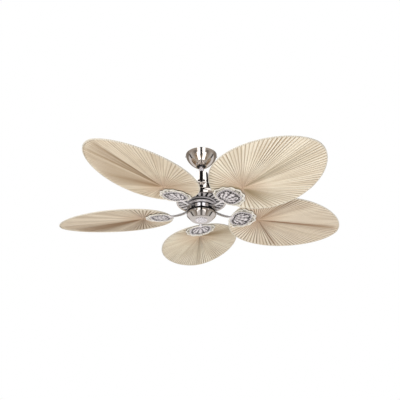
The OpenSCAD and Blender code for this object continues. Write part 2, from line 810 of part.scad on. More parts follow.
module rotor_lower_shell() {
    in_r = rotor_neck_r - neck_wall;
    web_bottom = lower_bearing_top - bearing_h;
    color(cast) difference() {
        rotate_extrude() polygon([
            [shaft_r + 3, ring_bottom], [rotor_r, ring_bottom], [rotor_r, lower_shell_bottom],
            [rotor_neck_r, lower_shell_bottom], [rotor_neck_r, hub_top + fit_gap],
            [in_r, hub_top + fit_gap], [in_r, lower_shell_bottom - 1],
            [boss_r, lower_shell_bottom - 1], [boss_r, web_bottom],
            [bearing_seat_r, web_bottom], [bearing_seat_r, lower_bearing_top],
            [shaft_r + 3, lower_bearing_top]]);
        around(blade_count, between_blades) translate([rotor_screw_r, 0, lower_shell_bottom - 1])
            cylinder(r = m3 + screw_gap, h = end_shell_t + 2);
        around(blade_count, between_blades) translate([neck_mid_r, 0, hub_top - 1])
            cylinder(r = m3 + screw_gap, h = neck_screw_depth);
    }
}

module rotor_ring() {
    color(dark_steel) difference() {
        tube(rotor_r, rotor_in_r, ring_bottom, ring_top);
        around(blade_count, between_blades) translate([rotor_screw_r, 0, ring_bottom - 1])
            cylinder(r = m3 + screw_gap, h = rotor_h + 2);
    }
}

module bearing(top) {
    color(zinc) tube(bearing_r, shaft_r + fit_gap, top - bearing_h, top);
}

module rotor_screws() {
    color(dark_steel) around(blade_count, between_blades) translate([rotor_screw_r, 0, lower_shell_bottom])
        intersection() {
            screw_up(m3, rotor_h + 2 * end_shell_t, 1);
            translate([0, 0, -0.6]) cylinder(r = 10, h = 100);
        }
}

module flywheel() {
    color(cast) difference() {
        union() {
            translate([0, 0, foot_top]) cylinder(r = hub_r, h = flywheel_t);
            tube(hub_r, hub_r - band_t, hub_bottom, foot_top + eps);
        }
        translate([0, 0, foot_top - 1]) cylinder(r = shoulder_r + 3, h = flywheel_t + 2);
        for (k = [0 : blade_count - 1])
            at_blade(k) {
                translate([hub_r - band_t - 2, -arm_w / 2 - 1, hub_bottom - 1])
                    cube([band_t + 4, arm_w + 2, foot_top - hub_bottom + 1 + fit_gap]);
                for (r = foot_screw_r)
                    translate([r, 0, foot_top - 1]) cylinder(r = m5 + screw_gap, h = flywheel_t + 2);
            }
        around(blade_count, between_blades) translate([neck_mid_r, 0, foot_top - 1])
            cylinder(r = m3 + screw_gap, h = flywheel_t + 2);
    }
}

module flywheel_screws() {
    color(dark_steel) around(blade_count, between_blades) translate([neck_mid_r, 0, foot_top])
        screw_up(m3, flywheel_t + 9, 2.5);
}

module iron_screws() {
    color(dark_steel) for (k = [0 : blade_count - 1], r = foot_screw_r)
        at_blade(k) translate([r, 0, foot_bottom]) screw_up(m5, foot_t + flywheel_t - 0.5, 3);
}

// ---- Blade irons ----

// Height of the arm's middle line at a share s of its length
function arm_z(s) = arm_end_z + (arm_start_z - arm_end_z) * pow(1 - s, arm_curve);
function arm_x(s) = arm_start_r + (arm_end_r - arm_start_r) * s;

module iron_arm() {
    steps = 12;
    upper = [for (i = [0 : steps]) [arm_x(i / steps), arm_z(i / steps) + arm_t / 2]];
    lower = [for (i = [steps : -1 : 0]) [arm_x(i / steps), arm_z(i / steps) - arm_t / 2]];
    rotate([90, 0, 0]) linear_extrude(arm_w, center = true) polygon(concat(upper, lower));
}

// Point of an egg-shaped oval round the plate's widest place
function plate_point(a, share) = [
    plate_wide_r + share * (cos(a) >= 0 ? plate_outer_len : plate_inner_len) * cos(a),
    share * plate_w / 2 * sin(a)];

// The plate's outline: waves give the cast edge its scallops
module plate_outline() {
    polygon([for (a = [0 : 5 : 355]) plate_point(a, (1 + scallop * cos(scallops * a)) / (1 + scallop))]);
}

module shield_outline() {
    polygon([for (a = [0 : 7.5 : 352.5])
        let (wave = (1 + scallop * cos(4 * a)) / (1 + scallop) * shield_w / 2)
        [shield_r + wave * cos(a), wave * sin(a)]]);
}

module iron() {
    color(cast) difference() {
        union() {
            translate([foot_in_r, -foot_w / 2, foot_bottom])
                cube([foot_out_r - foot_in_r, foot_w, foot_t]);
            iron_arm();
            blade_frame() {
                translate([0, 0, plate_low_z]) linear_extrude(plate_t) plate_outline();
                translate([0, 0, shield_low_z]) linear_extrude(shield_t + eps) shield_outline();
                translate([plate_in_r + iron_boss_r, 0, shield_low_z])
                    cylinder(r = iron_boss_r, h = shield_t + plate_t);
            }
        }
        for (r = foot_screw_r)
            translate([r, 0, foot_bottom - 1]) cylinder(r = m5 + screw_gap, h = foot_t + 2);
        blade_frame() {
            for (p = blade_screw_at)
                translate([p[0], p[1], shield_low_z - 1])
                    cylinder(r = blade_hole, h = plate_t + shield_t + 2);
            for (i = [0 : pierce_count - 1])
                let (
                    p = plate_point((i + 0.5) * 360 / pierce_count, pierce_at),
                    out = norm([p[0] - plate_wide_r, p[1]])
                )
                translate([p[0], p[1], plate_low_z - 1])
                    cylinder(r = pierce_size * out, h = plate_t + 2, $fn = 24);
        }
    }
}

// ---- Leaves ----

// Point of the leaf's outline for the parameter g, 0 at the tip and 180 at the root
function outline_u(g) = cos(g) >= 0
    ? wide_r + (tip_r - wide_r) * pow(cos(g), 2 / tip_power)
    : wide_r - (wide_r - root_r) * pow(-cos(g), 2 / root_power);
function outline_v(g) = sign(sin(g)) * leaf_w / 2
    * pow(abs(sin(g)), 2 / (cos(g) >= 0 ? tip_power : root_power));

// The same point drawn in towards the pleats' centre by a width and a share
function leaf_point(g, inset, share) =
    let (du = outline_u(g) - fan_r, dv = outline_v(g), far = norm([du, dv]))
    [fan_r + du * share * (1 - inset / far), dv * share * (1 - inset / far)];

// A pleated sheet: each spoke is a ridge or a valley, and spoke 0 is the mid rib
module leaf() {
    spokes = 2 * pleats;
    inset = binding_w + free_gap;
    rings = len(leaf_rings);
    side = 1 + rings * spokes;
    sheet = [for (face = [1, -1]) each concat(
        [[fan_r, 0, face * leaf_t / 2]],
        [for (share = leaf_rings, j = [0 : spokes - 1])
            let (
                p = leaf_point(j * 360 / spokes, inset, share),
                fold = (j % 2 == 0 ? -1 : 1) * pleat_h / 2,
                rib = (j == 0 && share < 1 && face < 0) ? midrib_h : 0
            )
            [p[0], p[1], face * leaf_t / 2 + fold - rib]])];
    fans = [for (j = [0 : spokes - 1]) each
        let (next = (j + 1) % spokes)
        [[0, 1 + next, 1 + j], [side, side + 1 + j, side + 1 + next]]];
    strips = [for (k = [0 : rings - 2], j = [0 : spokes - 1]) each
        let (
            a = 1 + k * spokes + j,
            b = 1 + k * spokes + (j + 1) % spokes,
            c = b + spokes,
            d = a + spokes
        )
        [[a, b, c], [a, c, d], [side + a, side + c, side + b], [side + a, side + d, side + c]]];
    edge = [for (j = [0 : spokes - 1]) each
        let (a = side - spokes + j, b = side - spokes + (j + 1) % spokes)
        [[a, b, side + b], [a, side + b, side + a]]];
    color(palm) difference() {
        polyhedron(points = sheet, faces = concat(fans, strips, edge));
        for (p = blade_screw_at)
            translate([p[0], p[1], -2 * leaf_half]) cylinder(r = blade_hole, h = 4 * leaf_half, $fn = 24);
    }
}

// The bound edge: a closed band along the leaf's outline
module leaf_binding() {
    n = binding_steps;
    band = [for (j = [0 : n - 1]) each
        let (inner = leaf_point(j * 360 / n, binding_w, 1), outer = leaf_point(j * 360 / n, 0, 1))
        [[inner[0], inner[1], binding_half], [outer[0], outer[1], binding_half],
         [outer[0], outer[1], -binding_half], [inner[0], inner[1], -binding_half]]];
    walls = [for (j = [0 : n - 1], c = [0 : 3]) each
        let (here = 4 * j, next = 4 * ((j + 1) % n), side = (c + 1) % 4)
        [[here + c, next + c, next + side], [here + c, next + side, here + side]]];
    color(bound_edge) polyhedron(points = band, faces = walls);
}

module blade(k) {
    at_blade(k) blade_frame() children();
}

module clamp_plates() {
    color(zinc) every_blade() difference() {
        translate([clamp_in_r, -clamp_w / 2, clamp_low_z]) cube([clamp_len, clamp_w, clamp_t]);
        for (p = blade_screw_at)
            translate([p[0], p[1], clamp_low_z - 1]) cylinder(r = m4 + screw_gap, h = clamp_t + 2);
    }
}

module blade_screws() {
    shank = clamp_high_z + screw_proud - shield_low_z;
    color(cast) every_blade() for (p = blade_screw_at)
        translate([p[0], p[1], shield_low_z]) screw_up(m4, shank, 2);
}

module blade_nuts() {
    color(zinc) every_blade() for (p = blade_screw_at)
        translate([p[0], p[1], clamp_high_z]) difference() {
            cylinder(r = nut_w, h = blade_nut_h, $fn = 6);
            translate([0, 0, -1]) cylinder(r = m4 + fit_gap, h = blade_nut_h + 2);
        }
}

hanger_bracket();
canopy();
canopy_screws();
terminal_block();
ball_seat();
hanger_ball();
ball_pin();
ball_set_screw();
downrod();
rod_collar();
yoke_cover();
motor_yoke();
yoke_pin();
pin_clip();
yoke_set_screws();
motor_shaft();
stator_core();
stator_windings();
motor_housing();
housing_screws();
vent_plate();
vent_plate_screws();
step_ring();
switch_plate();
shaft_nut();
switch_bowl();
bowl_screws();
bottom_cap();
capacitor();
reverse_switch();
reverse_slider();
rotor_upper_shell();
rotor_lower_shell();
rotor_ring();
bearing(upper_boss_top);  // upper_bearing
bearing(lower_bearing_top);  // lower_bearing
rotor_screws();
flywheel();
flywheel_screws();
iron_screws();
at_blade(0) iron();  // iron_1
at_blade(1) iron();  // iron_2
at_blade(2) iron();  // iron_3
at_blade(3) iron();  // iron_4
at_blade(4) iron();  // iron_5
blade(0) leaf();  // leaf_1
blade(1) leaf();  // leaf_2
blade(2) leaf();  // leaf_3
blade(3) leaf();  // leaf_4
blade(4) leaf();  // leaf_5
blade(0) leaf_binding();  // leaf_binding_1
blade(1) leaf_binding();  // leaf_binding_2
blade(2) leaf_binding();  // leaf_binding_3
blade(3) leaf_binding();  // leaf_binding_4
blade(4) leaf_binding();  // leaf_binding_5
clamp_plates();
blade_screws();
blade_nuts();
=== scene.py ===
import math
import random

import bmesh
import bpy
import numpy as np
from mathutils import Matrix, Vector


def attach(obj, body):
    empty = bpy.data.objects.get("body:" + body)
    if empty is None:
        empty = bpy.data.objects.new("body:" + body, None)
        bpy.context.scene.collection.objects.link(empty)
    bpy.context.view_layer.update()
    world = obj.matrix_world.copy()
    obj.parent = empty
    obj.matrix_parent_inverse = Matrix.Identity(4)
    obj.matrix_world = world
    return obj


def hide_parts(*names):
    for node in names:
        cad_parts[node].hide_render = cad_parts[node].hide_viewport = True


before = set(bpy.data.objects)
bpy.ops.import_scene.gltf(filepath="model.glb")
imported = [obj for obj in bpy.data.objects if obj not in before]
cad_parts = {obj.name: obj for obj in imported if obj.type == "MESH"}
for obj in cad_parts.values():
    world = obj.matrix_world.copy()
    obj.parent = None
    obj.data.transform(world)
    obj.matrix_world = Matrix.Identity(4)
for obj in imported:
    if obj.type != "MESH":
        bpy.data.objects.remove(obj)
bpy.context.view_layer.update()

mm = 0.001
scene = bpy.context.scene
print("frame loaded:", len(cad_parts), "nodes")


class Wire:  # one socket of a node, so that shader maths reads as plain Python
    def __init__(self, finish, socket):
        self.finish, self.socket = finish, socket

    def maths(self, operation, *values):
        sockets = {i: value for i, value in enumerate(values)}
        return self.finish.add("Math", {"operation": operation}, sockets)

    def __add__(self, other):
        return self.maths("ADD", self, other)

    def __radd__(self, other):
        return self.maths("ADD", other, self)

    def __sub__(self, other):
        return self.maths("SUBTRACT", self, other)

    def __rsub__(self, other):
        return self.maths("SUBTRACT", other, self)

    def __mul__(self, other):
        return self.maths("MULTIPLY", self, other)

    def __rmul__(self, other):
        return self.maths("MULTIPLY", other, self)

    def __pow__(self, other):
        return self.maths("POWER", self, other)


class Finish:  # one material and its nodes
    def __init__(self, name):
        self.material = bpy.data.materials.new(name)
        self.material.use_nodes = True
        self.tree = self.material.node_tree
        self.tree.nodes.clear()

    def add(self, kind, settings=None, sockets=None, out=0):
        node = self.tree.nodes.new("ShaderNode" + kind)
        for key, value in (settings or {}).items():
            setattr(node, key, value)
        for key, value in (sockets or {}).items():
            if isinstance(value, Wire):
                self.tree.links.new(value.socket, node.inputs[key])
            elif value is not None:
                node.inputs[key].default_value = value
        return Wire(self, node.outputs[out]) if len(node.outputs) else None

    def blend(self, share, first, second, mode="MIX"):  # a mix of two colours
        first, second = [c if isinstance(c, Wire) else (*c, 1) for c in (first, second)]
        settings = {"data_type": "RGBA", "blend_type": mode}
        return self.add("Mix", settings, {0: share, 6: first, 7: second}, out=2)

    def mark(self, name):  # a value kept on the mesh
        return self.add("Attribute", {"attribute_name": name}, out=2)

    def noise(self, vector, scale, detail, roughness=0.55):
        sockets = {"Vector": vector, "Scale": scale, "Detail": detail, "Roughness": roughness}
        return self.add("TexNoise", {}, sockets)

    def bands(self, vector, scale, settings, distortion, detail=2.0):  # stripes that follow each other
        sockets = {"Vector": vector, "Scale": scale, "Distortion": distortion, "Detail": detail}
        return self.add("TexWave", settings, sockets)

    def place(self, stretch=(1, 1, 1)):  # object coordinates, stretched
        spot = self.add("TexCoord", out=3)
        return self.add("Mapping", {}, {"Vector": spot, "Scale": stretch})

    def within(self, value, low, high, newLow=0.0, newHigh=1.0):
        sockets = {0: value, 1: low, 2: high, 3: newLow, 4: newHigh}
        return self.add("MapRange", {"clamp": True}, sockets)

    def bump(self, height, strength, distance):
        sockets = {"Height": height, "Strength": strength, "Distance": distance}
        return self.add("Bump", {}, sockets)

    def cloudy(self, colour, scale, darker, detail=3):  # a colour that is darker in soft clouds
        cloud = self.noise(self.place(), scale, detail)
        return self.blend(self.within(cloud, 0.35, 0.7), tuple(c * darker for c in colour), colour)

    def close(self, **sockets):  # the surface itself
        names = {name.replace("_", " ").title(): value for name, value in sockets.items()}
        for name, value in names.items():
            if isinstance(value, tuple) and len(value) == 3:
                names[name] = (*value, 1)
        surface = self.add("BsdfPrincipled", {}, names)
        self.add("OutputMaterial", {}, {"Surface": surface})
        return self.material


nickel = {"colour": (0.60, 0.555, 0.52), "rough": 0.075, "smudge": 0.06}
patina = {"hollow": (0.040, 0.034, 0.031), "rubbed": (0.95, 0.92, 0.91)}
vent = {  # where shade in each vent is painted dark on the casting round it: half its width and both its ends, fading, in metres
    "count": 24, "across": (0.0054, 0.0040), "near": (0.062, 0.064), "far": (0.0995, 0.0970),
    "soot": (0.095, 0.088, 0.085),
}


def polishedNickel(name, colour=nickel["colour"], rough=nickel["rough"], smudge=nickel["smudge"]):
    finish = Finish(name)
    cloud = finish.noise(finish.place(), 9, 4)
    fine = finish.noise(finish.place(), 160, 2)
    shade = finish.blend(finish.within(cloud, 0.3, 0.7), tuple(c * 0.93 for c in colour), colour)
    smudged = finish.within(cloud, 0.45, 0.75) * smudge
    roughness = rough + smudged + finish.within(fine, 0.4, 0.8) * 0.015
    return finish.close(base_color=shade, metallic=1.0, roughness=roughness,
                        normal=finish.bump(fine, 0.02, 0.0005))


def paintedVentShade(finish):  # 1 in the slots round the vents, where shade is painted
    x, y = [finish.add("SeparateXYZ", {}, {0: finish.place()}, out=i) for i in (0, 1)]
    out = (x * x + y * y) ** 0.5
    step = 2 * math.pi / vent["count"]
    turn = y.maths("ARCTAN2", y, x) * (1 / step)
    away = turn.maths("PINGPONG", turn, 0.5) * step * out  # way from the middle of the nearest vent
    ends = finish.within(out, *vent["near"]) * finish.within(out, *vent["far"])
    return finish.within(away, *vent["across"]) * ends


def castMetal(name, colour, rough, metal=1.0, relief=False, vented=False):
    finish = Finish(name)
    sand = finish.noise(finish.place(), 420, 4)
    shade = finish.cloudy(colour, 30, 0.88)
    roughness = finish.within(sand, 0.3, 0.8, rough, rough + 0.16)
    if vented:
        # painted shade round the vents
        shade = finish.blend(paintedVentShade(finish), shade, vent["soot"])
    if relief:  # patina stays in the hollows and the high places are rubbed bright
        height = finish.mark("relief")
        shade = finish.blend(finish.within(height, 0.66, 0.26), shade, patina["hollow"])
        shade = finish.blend(finish.within(height, 0.7, 0.95) * 0.8, shade, patina["rubbed"])
        roughness = roughness + finish.within(height, 0.6, 0.1) * 0.25
    return finish.close(base_color=shade, metallic=metal, roughness=roughness,
                        normal=finish.bump(sand, 0.12, 0.0004))


def plainSteel(name, colour, rough, stretch=(1, 1, 1)):
    finish = Finish(name)
    brush = finish.noise(finish.place(stretch), 260, 3)
    roughness = finish.within(brush, 0.3, 0.7, rough, rough + 0.18)
    return finish.close(base_color=finish.cloudy(colour, 45, 0.82, 4), metallic=1.0, roughness=roughness,
                        normal=finish.bump(brush, 0.1, 0.0003))


def moulded(name, colour, rough):
    finish = Finish(name)
    grain = finish.noise(finish.place(), 900, 2)
    roughness = finish.within(grain, 0.3, 0.7, rough, rough + 0.12)
    return finish.close(base_color=finish.cloudy(colour, 40, 0.86), roughness=roughness,
                        normal=finish.bump(grain, 0.15, 0.0002))


def woundWire(name):
    finish = Finish(name)
    strands = finish.bands(finish.place(), 420, {"bands_direction": "Z"}, 0.6, 1.0)
    shade = finish.blend(strands, (0.30, 0.10, 0.035), (0.72, 0.33, 0.14))
    return finish.close(base_color=shade, metallic=1.0, roughness=0.32,
                        normal=finish.bump(strands, 0.5, 0.0004))


def stackedSteel(name):
    finish = Finish(name)
    sheets = finish.bands(finish.place(), 320, {"bands_direction": "Z"}, 0.2)
    shade = finish.blend(sheets, (0.11, 0.11, 0.12), (0.34, 0.34, 0.36))
    return finish.close(base_color=shade, metallic=1.0, roughness=0.45,
                        normal=finish.bump(sheets, 0.4, 0.0003))


# light, deep, hub and pale are the leaf's own tones; pale is also the painted highlight on the pleats'
# ridges, fold also darkens the fibres and is the painted shade in the pleats' valleys with root near the hub,
# and shadow is the painted shadow under the irons and in the darkest folds
leafTint = {
    "light": (0.870, 0.770, 0.610), "deep": (0.700, 0.585, 0.435), "fold": (0.260, 0.180, 0.100),
    "root": (0.330, 0.160, 0.085), "hub": (0.600, 0.370, 0.210), "pale": (0.960, 0.895, 0.770),
    "shadow": (0.10, 0.075, 0.05),
}
leafGrain = {  # how close the fibres and the broad streaks lie, round the fan and along it, and a shift
    "fibres": (260, 2.2, 0.0), "streaks": (30, 1.2, 4.0), "patches": 7,
}


def palmLeaf(name, paintedLeafShade, paintedFoldShade):
    finish = Finish(name)
    fan, reach = finish.mark("fan"), finish.mark("reach")  # the way round the leaf's middle, and out from it
    fold, wedge = finish.mark("fold"), finish.mark("wedge")  # height in the pleat, and how dark the painted shade of the folds and under the irons is
    along, broad = [finish.add("CombineXYZ", {}, {0: fan * across, 1: reach * outward, 2: shift})
                    for across, outward, shift in (leafGrain["fibres"], leafGrain["streaks"])]
    fibre = finish.noise(along, 1.0, 5, 0.6)
    streak = finish.noise(broad, 1.0, 3)
    patch = finish.noise(finish.place(), leafGrain["patches"], 3)
    near = finish.within(reach, 0.30, 0.03)  # close to where the pleats meet
    shade = finish.blend(finish.within(streak, 0.36, 0.60), leafTint["deep"], leafTint["light"])
    shade = finish.blend(finish.within(patch, 0.4, 0.65) * 0.3, shade, leafTint["pale"])
    shade = finish.blend(finish.within(fibre, 0.50, 0.30) * 0.25, shade, leafTint["fold"])
    # painted highlight on the pleats' ridges
    shade = finish.blend(finish.within(fold, 0.30, 0.80) * 0.85, shade, leafTint["pale"])
    shade = finish.blend(near * 0.5, shade, leafTint["hub"])
    # painted shade in the pleats' valleys, reddish near the hub
    paintedCreaseShade = finish.blend(near, leafTint["fold"], leafTint["root"])
    shade = finish.blend(finish.within(fold - near * 0.3, 0.02, -0.75) * 0.95, shade, paintedCreaseShade)
    # painted shade in the dark folds and under the irons
    shade = finish.blend(finish.within(wedge, 0.0, 0.85), shade, paintedFoldShade)
    # painted shadow, darkest under the irons and in the darkest folds
    shade = finish.blend(finish.within(wedge, 0.96, 1.0) * 0.6, shade, leafTint["shadow"])
    # painted shade: the whole leaf darkened by how the light falls on it
    shade = finish.blend(1.0, shade, paintedLeafShade, "MULTIPLY")
    roughness = finish.within(fibre, 0.3, 0.7, 0.72, 0.56)
    return finish.close(base_color=shade, roughness=roughness, normal=finish.bump(fibre, 0.25, 0.0006))


def boundEdge(name):
    finish = Finish(name)
    around = finish.add("CombineXYZ", {}, {0: finish.mark("around")})
    stitch = finish.bands(around, 60, {"wave_profile": "TRI"}, 0.3)
    cloth = finish.noise(finish.place(), 700, 2)
    shade = finish.blend(finish.within(stitch, 0.2, 0.8), (0.62, 0.55, 0.44), (0.80, 0.75, 0.65))
    return finish.close(base_color=shade, roughness=finish.within(cloth, 0.3, 0.7, 0.62, 0.80),
                        normal=finish.bump(stitch + cloth * 0.4, 0.4, 0.0005))


chrome = polishedNickel("polishedNickel")
satinNickel = polishedNickel("satinNickel", (0.50, 0.47, 0.49), 0.34)
hubNickel = polishedNickel("hubNickel", (0.58, 0.56, 0.58), 0.12, 0.05)
castPlate = castMetal("satinCasting", (0.60, 0.585, 0.59), 0.30)
ringCasting = castMetal("ringCasting", (0.90, 0.865, 0.89), 0.18, 0.42)
capCasting = castMetal("capCasting", (0.80, 0.76, 0.78), 0.20, 0.6)
ventCasting = castMetal("ventCasting", (0.90, 0.865, 0.885), 0.30, 0.3, vented=True)
ventRelief = castMetal("ventRelief", (0.88, 0.845, 0.87), 0.24, 0.4, relief=True)
armCasting = castMetal("armCasting", (0.78, 0.75, 0.76), 0.20, 0.75, relief=True)
castRelief = castMetal("castRelief", (0.88, 0.82, 0.84), 0.24, 0.55, relief=True)
castBright = castMetal("castBright", (0.97, 0.91, 0.76), 0.26, 0.15, relief=True)
# painted shade: a black that stands in for the shade in gaps, insides and recesses
paintedShadeBlack = plainSteel("paintedShadeBlack", (0.020, 0.019, 0.018), 0.50)
zinc = plainSteel("zincPlate", (0.56, 0.57, 0.60), 0.30)
turned = plainSteel("turnedSteel", (0.52, 0.52, 0.54), 0.22, (1, 1, 9))
darkSteel = plainSteel("darkSteel", (0.16, 0.16, 0.17), 0.34)
screwSteel = plainSteel("screwSteel", (0.50, 0.48, 0.47), 0.20)
ivory = moulded("ivoryPlastic", (0.74, 0.72, 0.65), 0.42)
black = moulded("blackPlastic", (0.022, 0.022, 0.024), 0.40)
winding = woundWire("windingWire")
laminated = stackedSteel("laminatedSteel")
binding = boundEdge("boundEdge")

carriedOver = [  # solids that are shown as they are, by their finish
    (zinc, ("hanger_bracket", "shaft_nut", "clamp_plates", "blade_nuts")),
    (turned, ("ball_pin", "yoke_pin", "motor_shaft", "upper_bearing", "lower_bearing")),
    (darkSteel, ("ball_set_screw", "pin_clip", "yoke_set_screws", "housing_screws", "rotor_screws",
                 "flywheel_screws", "iron_screws")),
    (screwSteel, ("canopy_screws", "vent_plate_screws", "bowl_screws", "blade_screws")),
    (castPlate, ("motor_yoke", "rotor_upper_shell")),
    (ventCasting, ("vent_plate",)),
    # the switch plate and the lower rotor shell are painted black as shade
    (paintedShadeBlack, ("switch_plate", "rotor_lower_shell")),
    (laminated, ("stator_core", "rotor_ring")),
    (winding, ("stator_windings",)),
    (ivory, ("terminal_block", "ball_seat", "reverse_slider")),
    (black, ("hanger_ball", "capacitor", "reverse_switch")),
]
for material, nodes in carriedOver:
    for node in nodes:
        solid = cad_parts[node].data
        solid.materials.clear()
        solid.materials.append(material)
print("finishes made")


def makePiece(name, points, faces, materials, marks=None, sharpAngle=40, faceMaterial=None):
    mesh = bpy.data.meshes.new(name)
    mesh.from_pydata([tuple(p) for p in points], [], faces)
    for key, values in (marks or {}).items():
        layer = mesh.attributes.new(key, "FLOAT", "POINT")
        layer.data.foreach_set("value", np.asarray(values, dtype=np.float32))
    for material in materials:
        mesh.materials.append(material)
    if faceMaterial is not None:
        mesh.polygons.foreach_set("material_index", faceMaterial)
    shape = bmesh.new()
    shape.from_mesh(mesh)
    bmesh.ops.recalc_face_normals(shape, faces=shape.faces)
    limit = math.radians(sharpAngle)
    for face in shape.faces:
        face.smooth = True
    for edge in shape.edges:
        edge.smooth = len(edge.link_faces) == 2 and edge.calc_face_angle(0.0) < limit
    shape.to_mesh(mesh)
    shape.free()
    piece = bpy.data.objects.new(name, mesh)
    scene.collection.objects.link(piece)
    return piece


def rounded(corners, steps=5):  # corners are (radius, height) or (radius, height, size of the round)
    path = []
    for i, corner in enumerate(corners):
        here, size = Vector(corner[:2]), (corner[2] if len(corner) > 2 else 0)
        if not size:
            path.append(tuple(here))
            continue
        back = Vector(corners[i - 1][:2]) - here
        on = Vector(corners[(i + 1) % len(corners)][:2]) - here
        cut = min(size, back.length * 0.49, on.length * 0.49)
        start, end = here + back.normalized() * cut, here + on.normalized() * cut
        for k in range(steps + 1):
            t = k / steps
            path.append(tuple(start * (1 - t) ** 2 + here * 2 * t * (1 - t) + end * t ** 2))
    return path


def turnProfile(profile, steps, start=0.0, sweep=360.0):  # points and faces of a turned ring, in mm
    whole = sweep >= 360
    stops = steps if whole else steps + 1
    points, faces = [], []
    count = len(profile)
    for i in range(stops):
        angle = math.radians(start + sweep * i / steps)
        points += [(r * math.cos(angle), r * math.sin(angle), z) for r, z in profile]
    for i in range(steps):
        a, b = i * count, (i + 1) % stops * count
        for j in range(count):
            k = (j + 1) % count
            faces.append((a + j, b + j, b + k, a + k))
    if not whole:
        faces.append(tuple(range(count)))
        faces.append(tuple(range((stops - 1) * count, stops * count)))
    return points, faces


def sweepTube(path, radii, sides=8, flat=1.0, closed=False):  # a tube round a path that lies level
    points, faces, facing = [], [], []
    count = len(path)
    for i, p in enumerate(path):
        back = path[(i - 1) % count] if closed or i else p
        on = path[(i + 1) % count] if closed or i < count - 1 else p
        run = (Vector(on) - Vector(back)).normalized()
        side = run.cross(Vector((0, 0, 1))).normalized()
        up = side.cross(run)
        for k in range(sides):
            turn = 2 * math.pi * k / sides
            spot = Vector(p) + (side * math.cos(turn) + up * math.sin(turn) * flat) * radii[i]
            points.append(tuple(spot))
            facing.append(-math.sin(turn) if up.z > 0 else math.sin(turn))
    for i in range(count if closed else count - 1):
        a, b = i * sides, (i + 1) % count * sides
        for k in range(sides):
            n = (k + 1) % sides
            faces.append((a + k, b + k, b + n, a + n))
    if not closed:
        faces.append(tuple(range(sides)))
        faces.append(tuple(range((count - 1) * sides, count * sides)))
    return points, faces, facing


def closedDisc(rings, spokes):  # faces of two skins of rings and spokes, joined round their edge
    side = (rings + 1) * spokes
    faces = []
    for j in range(rings):
        for i in range(spokes):
            a, b = j * spokes + i, j * spokes + (i + 1) % spokes
            faces.append((a, b, b + spokes, a + spokes))
            faces.append((side + a, side + a + spokes, side + b + spokes, side + b))
    for i in range(spokes):
        a, b = rings * spokes + i, rings * spokes + (i + 1) % spokes
        faces.append((a, b, side + b, side + a))
    faces.append(tuple(range(spokes)))
    faces.append(tuple(side + i for i in range(spokes)))
    return faces


class Assembly:  # meshes joined into one piece, in mm
    def __init__(self):
        self.points, self.faces, self.relief, self.skins = [], [], [], []

    def add(self, points, faces, relief=0.6, skin=0, matrix=None):
        first = len(self.points)
        if matrix is not None:
            points = [matrix @ Vector(p) for p in points]
        self.points += [tuple(p) for p in points]
        self.faces += [tuple(first + i for i in face) for face in faces]
        self.relief += list(relief) if hasattr(relief, "__len__") else [relief] * len(points)
        self.skins += [skin] * len(faces)

    def turn(self, corners, steps, skin=0):
        self.add(*turnProfile(rounded(corners), steps), skin=skin)

    def make(self, name, materials):
        points = [(x * mm, y * mm, z * mm) for x, y, z in self.points]
        marks = {"relief": self.relief}
        return makePiece(name, points, self.faces, materials, marks, faceMaterial=self.skins)


def settle(piece, body, node=None):  # the body it moves with and the node it stands for
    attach(piece, body)
    if node:
        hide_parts(node)


def turnedPiece(name, corners, material, body, node, steps):
    shape = Assembly()
    shape.turn(corners, steps)
    settle(shape.make(name, [material]), body, node)


studio = {
    "cameraPlace": (-0.0598, -2.0786, -1.2834), "cameraTurn": (117.0, 0.0, -1.491), "lens": 49.13,
    "cameraSide": -91.5, "lampTarget": (0, 0, -0.25), "fill": 0.42, "floorHeight": -2.5, "floorHalf": 14,
    "centre": (0, 0, -0.2), "domeRadius": 6.0, "domeSteps": (240, 180), "lightEnd": 98, "streakEnd": 112,
}
camera = bpy.data.objects.new("camera", bpy.data.cameras.new("camera"))
camera.location = studio["cameraPlace"]
camera.rotation_euler = [math.radians(a) for a in studio["cameraTurn"]]
camera.data.sensor_width, camera.data.lens = 36, studio["lens"]
camera.data.clip_end = 60
scene.collection.objects.link(camera)
scene.camera = camera
scene.view_settings.view_transform = "Standard"

world = bpy.data.worlds.new("studio")
world.use_nodes = True
scene.world = world
sky = Finish.__new__(Finish)
sky.tree = world.node_tree
sky.tree.nodes.clear()
seen = [sky.add("LightPath", out=i) for i in (0, 3, 6)]  # camera, glossy and transmission rays
sees = seen[0] + seen[1] + seen[2]
strength = sky.within(sees, 0.0, 1.0, studio["fill"], 1.0)
backdrop = sky.add("Background", {}, {"Color": (1, 1, 1, 1), "Strength": strength})
sky.add("OutputWorld", {}, {"Surface": backdrop})


def lamp(name, place, target, size, power, colour=(1, 1, 1)):
    light = bpy.data.lights.new(name, "AREA")
    light.shape, light.size, light.energy, light.color = "DISK", size, power, colour
    lit = bpy.data.objects.new(name, light)
    lit.location = place
    lit.rotation_euler = (Vector(target) - Vector(place)).to_track_quat("-Z", "Y").to_euler()
    lit.visible_glossy = False
    scene.collection.objects.link(lit)
    return lit


lamp("keyLamp", (-1.7, -2.3, -1.7), studio["lampTarget"], 1.6, 52, (1.0, 0.985, 0.96))
lamp("sideLamp", (2.3, -0.3, -1.9), studio["lampTarget"], 1.8, 20)
lamp("topLamp", (-0.8, -0.9, 2.4), studio["lampTarget"], 2.0, 40)

floorPaint = Finish("studioFloor").close(base_color=(0.86, 0.855, 0.845), roughness=0.85)
floorCorners = [(x * studio["floorHalf"], y * studio["floorHalf"], studio["floorHeight"])
                for x, y in ((-1, -1), (1, -1), (1, 1), (-1, 1))]
studioFloor = makePiece("studioFloor", floorCorners, [(0, 1, 2, 3)], [floorPaint])

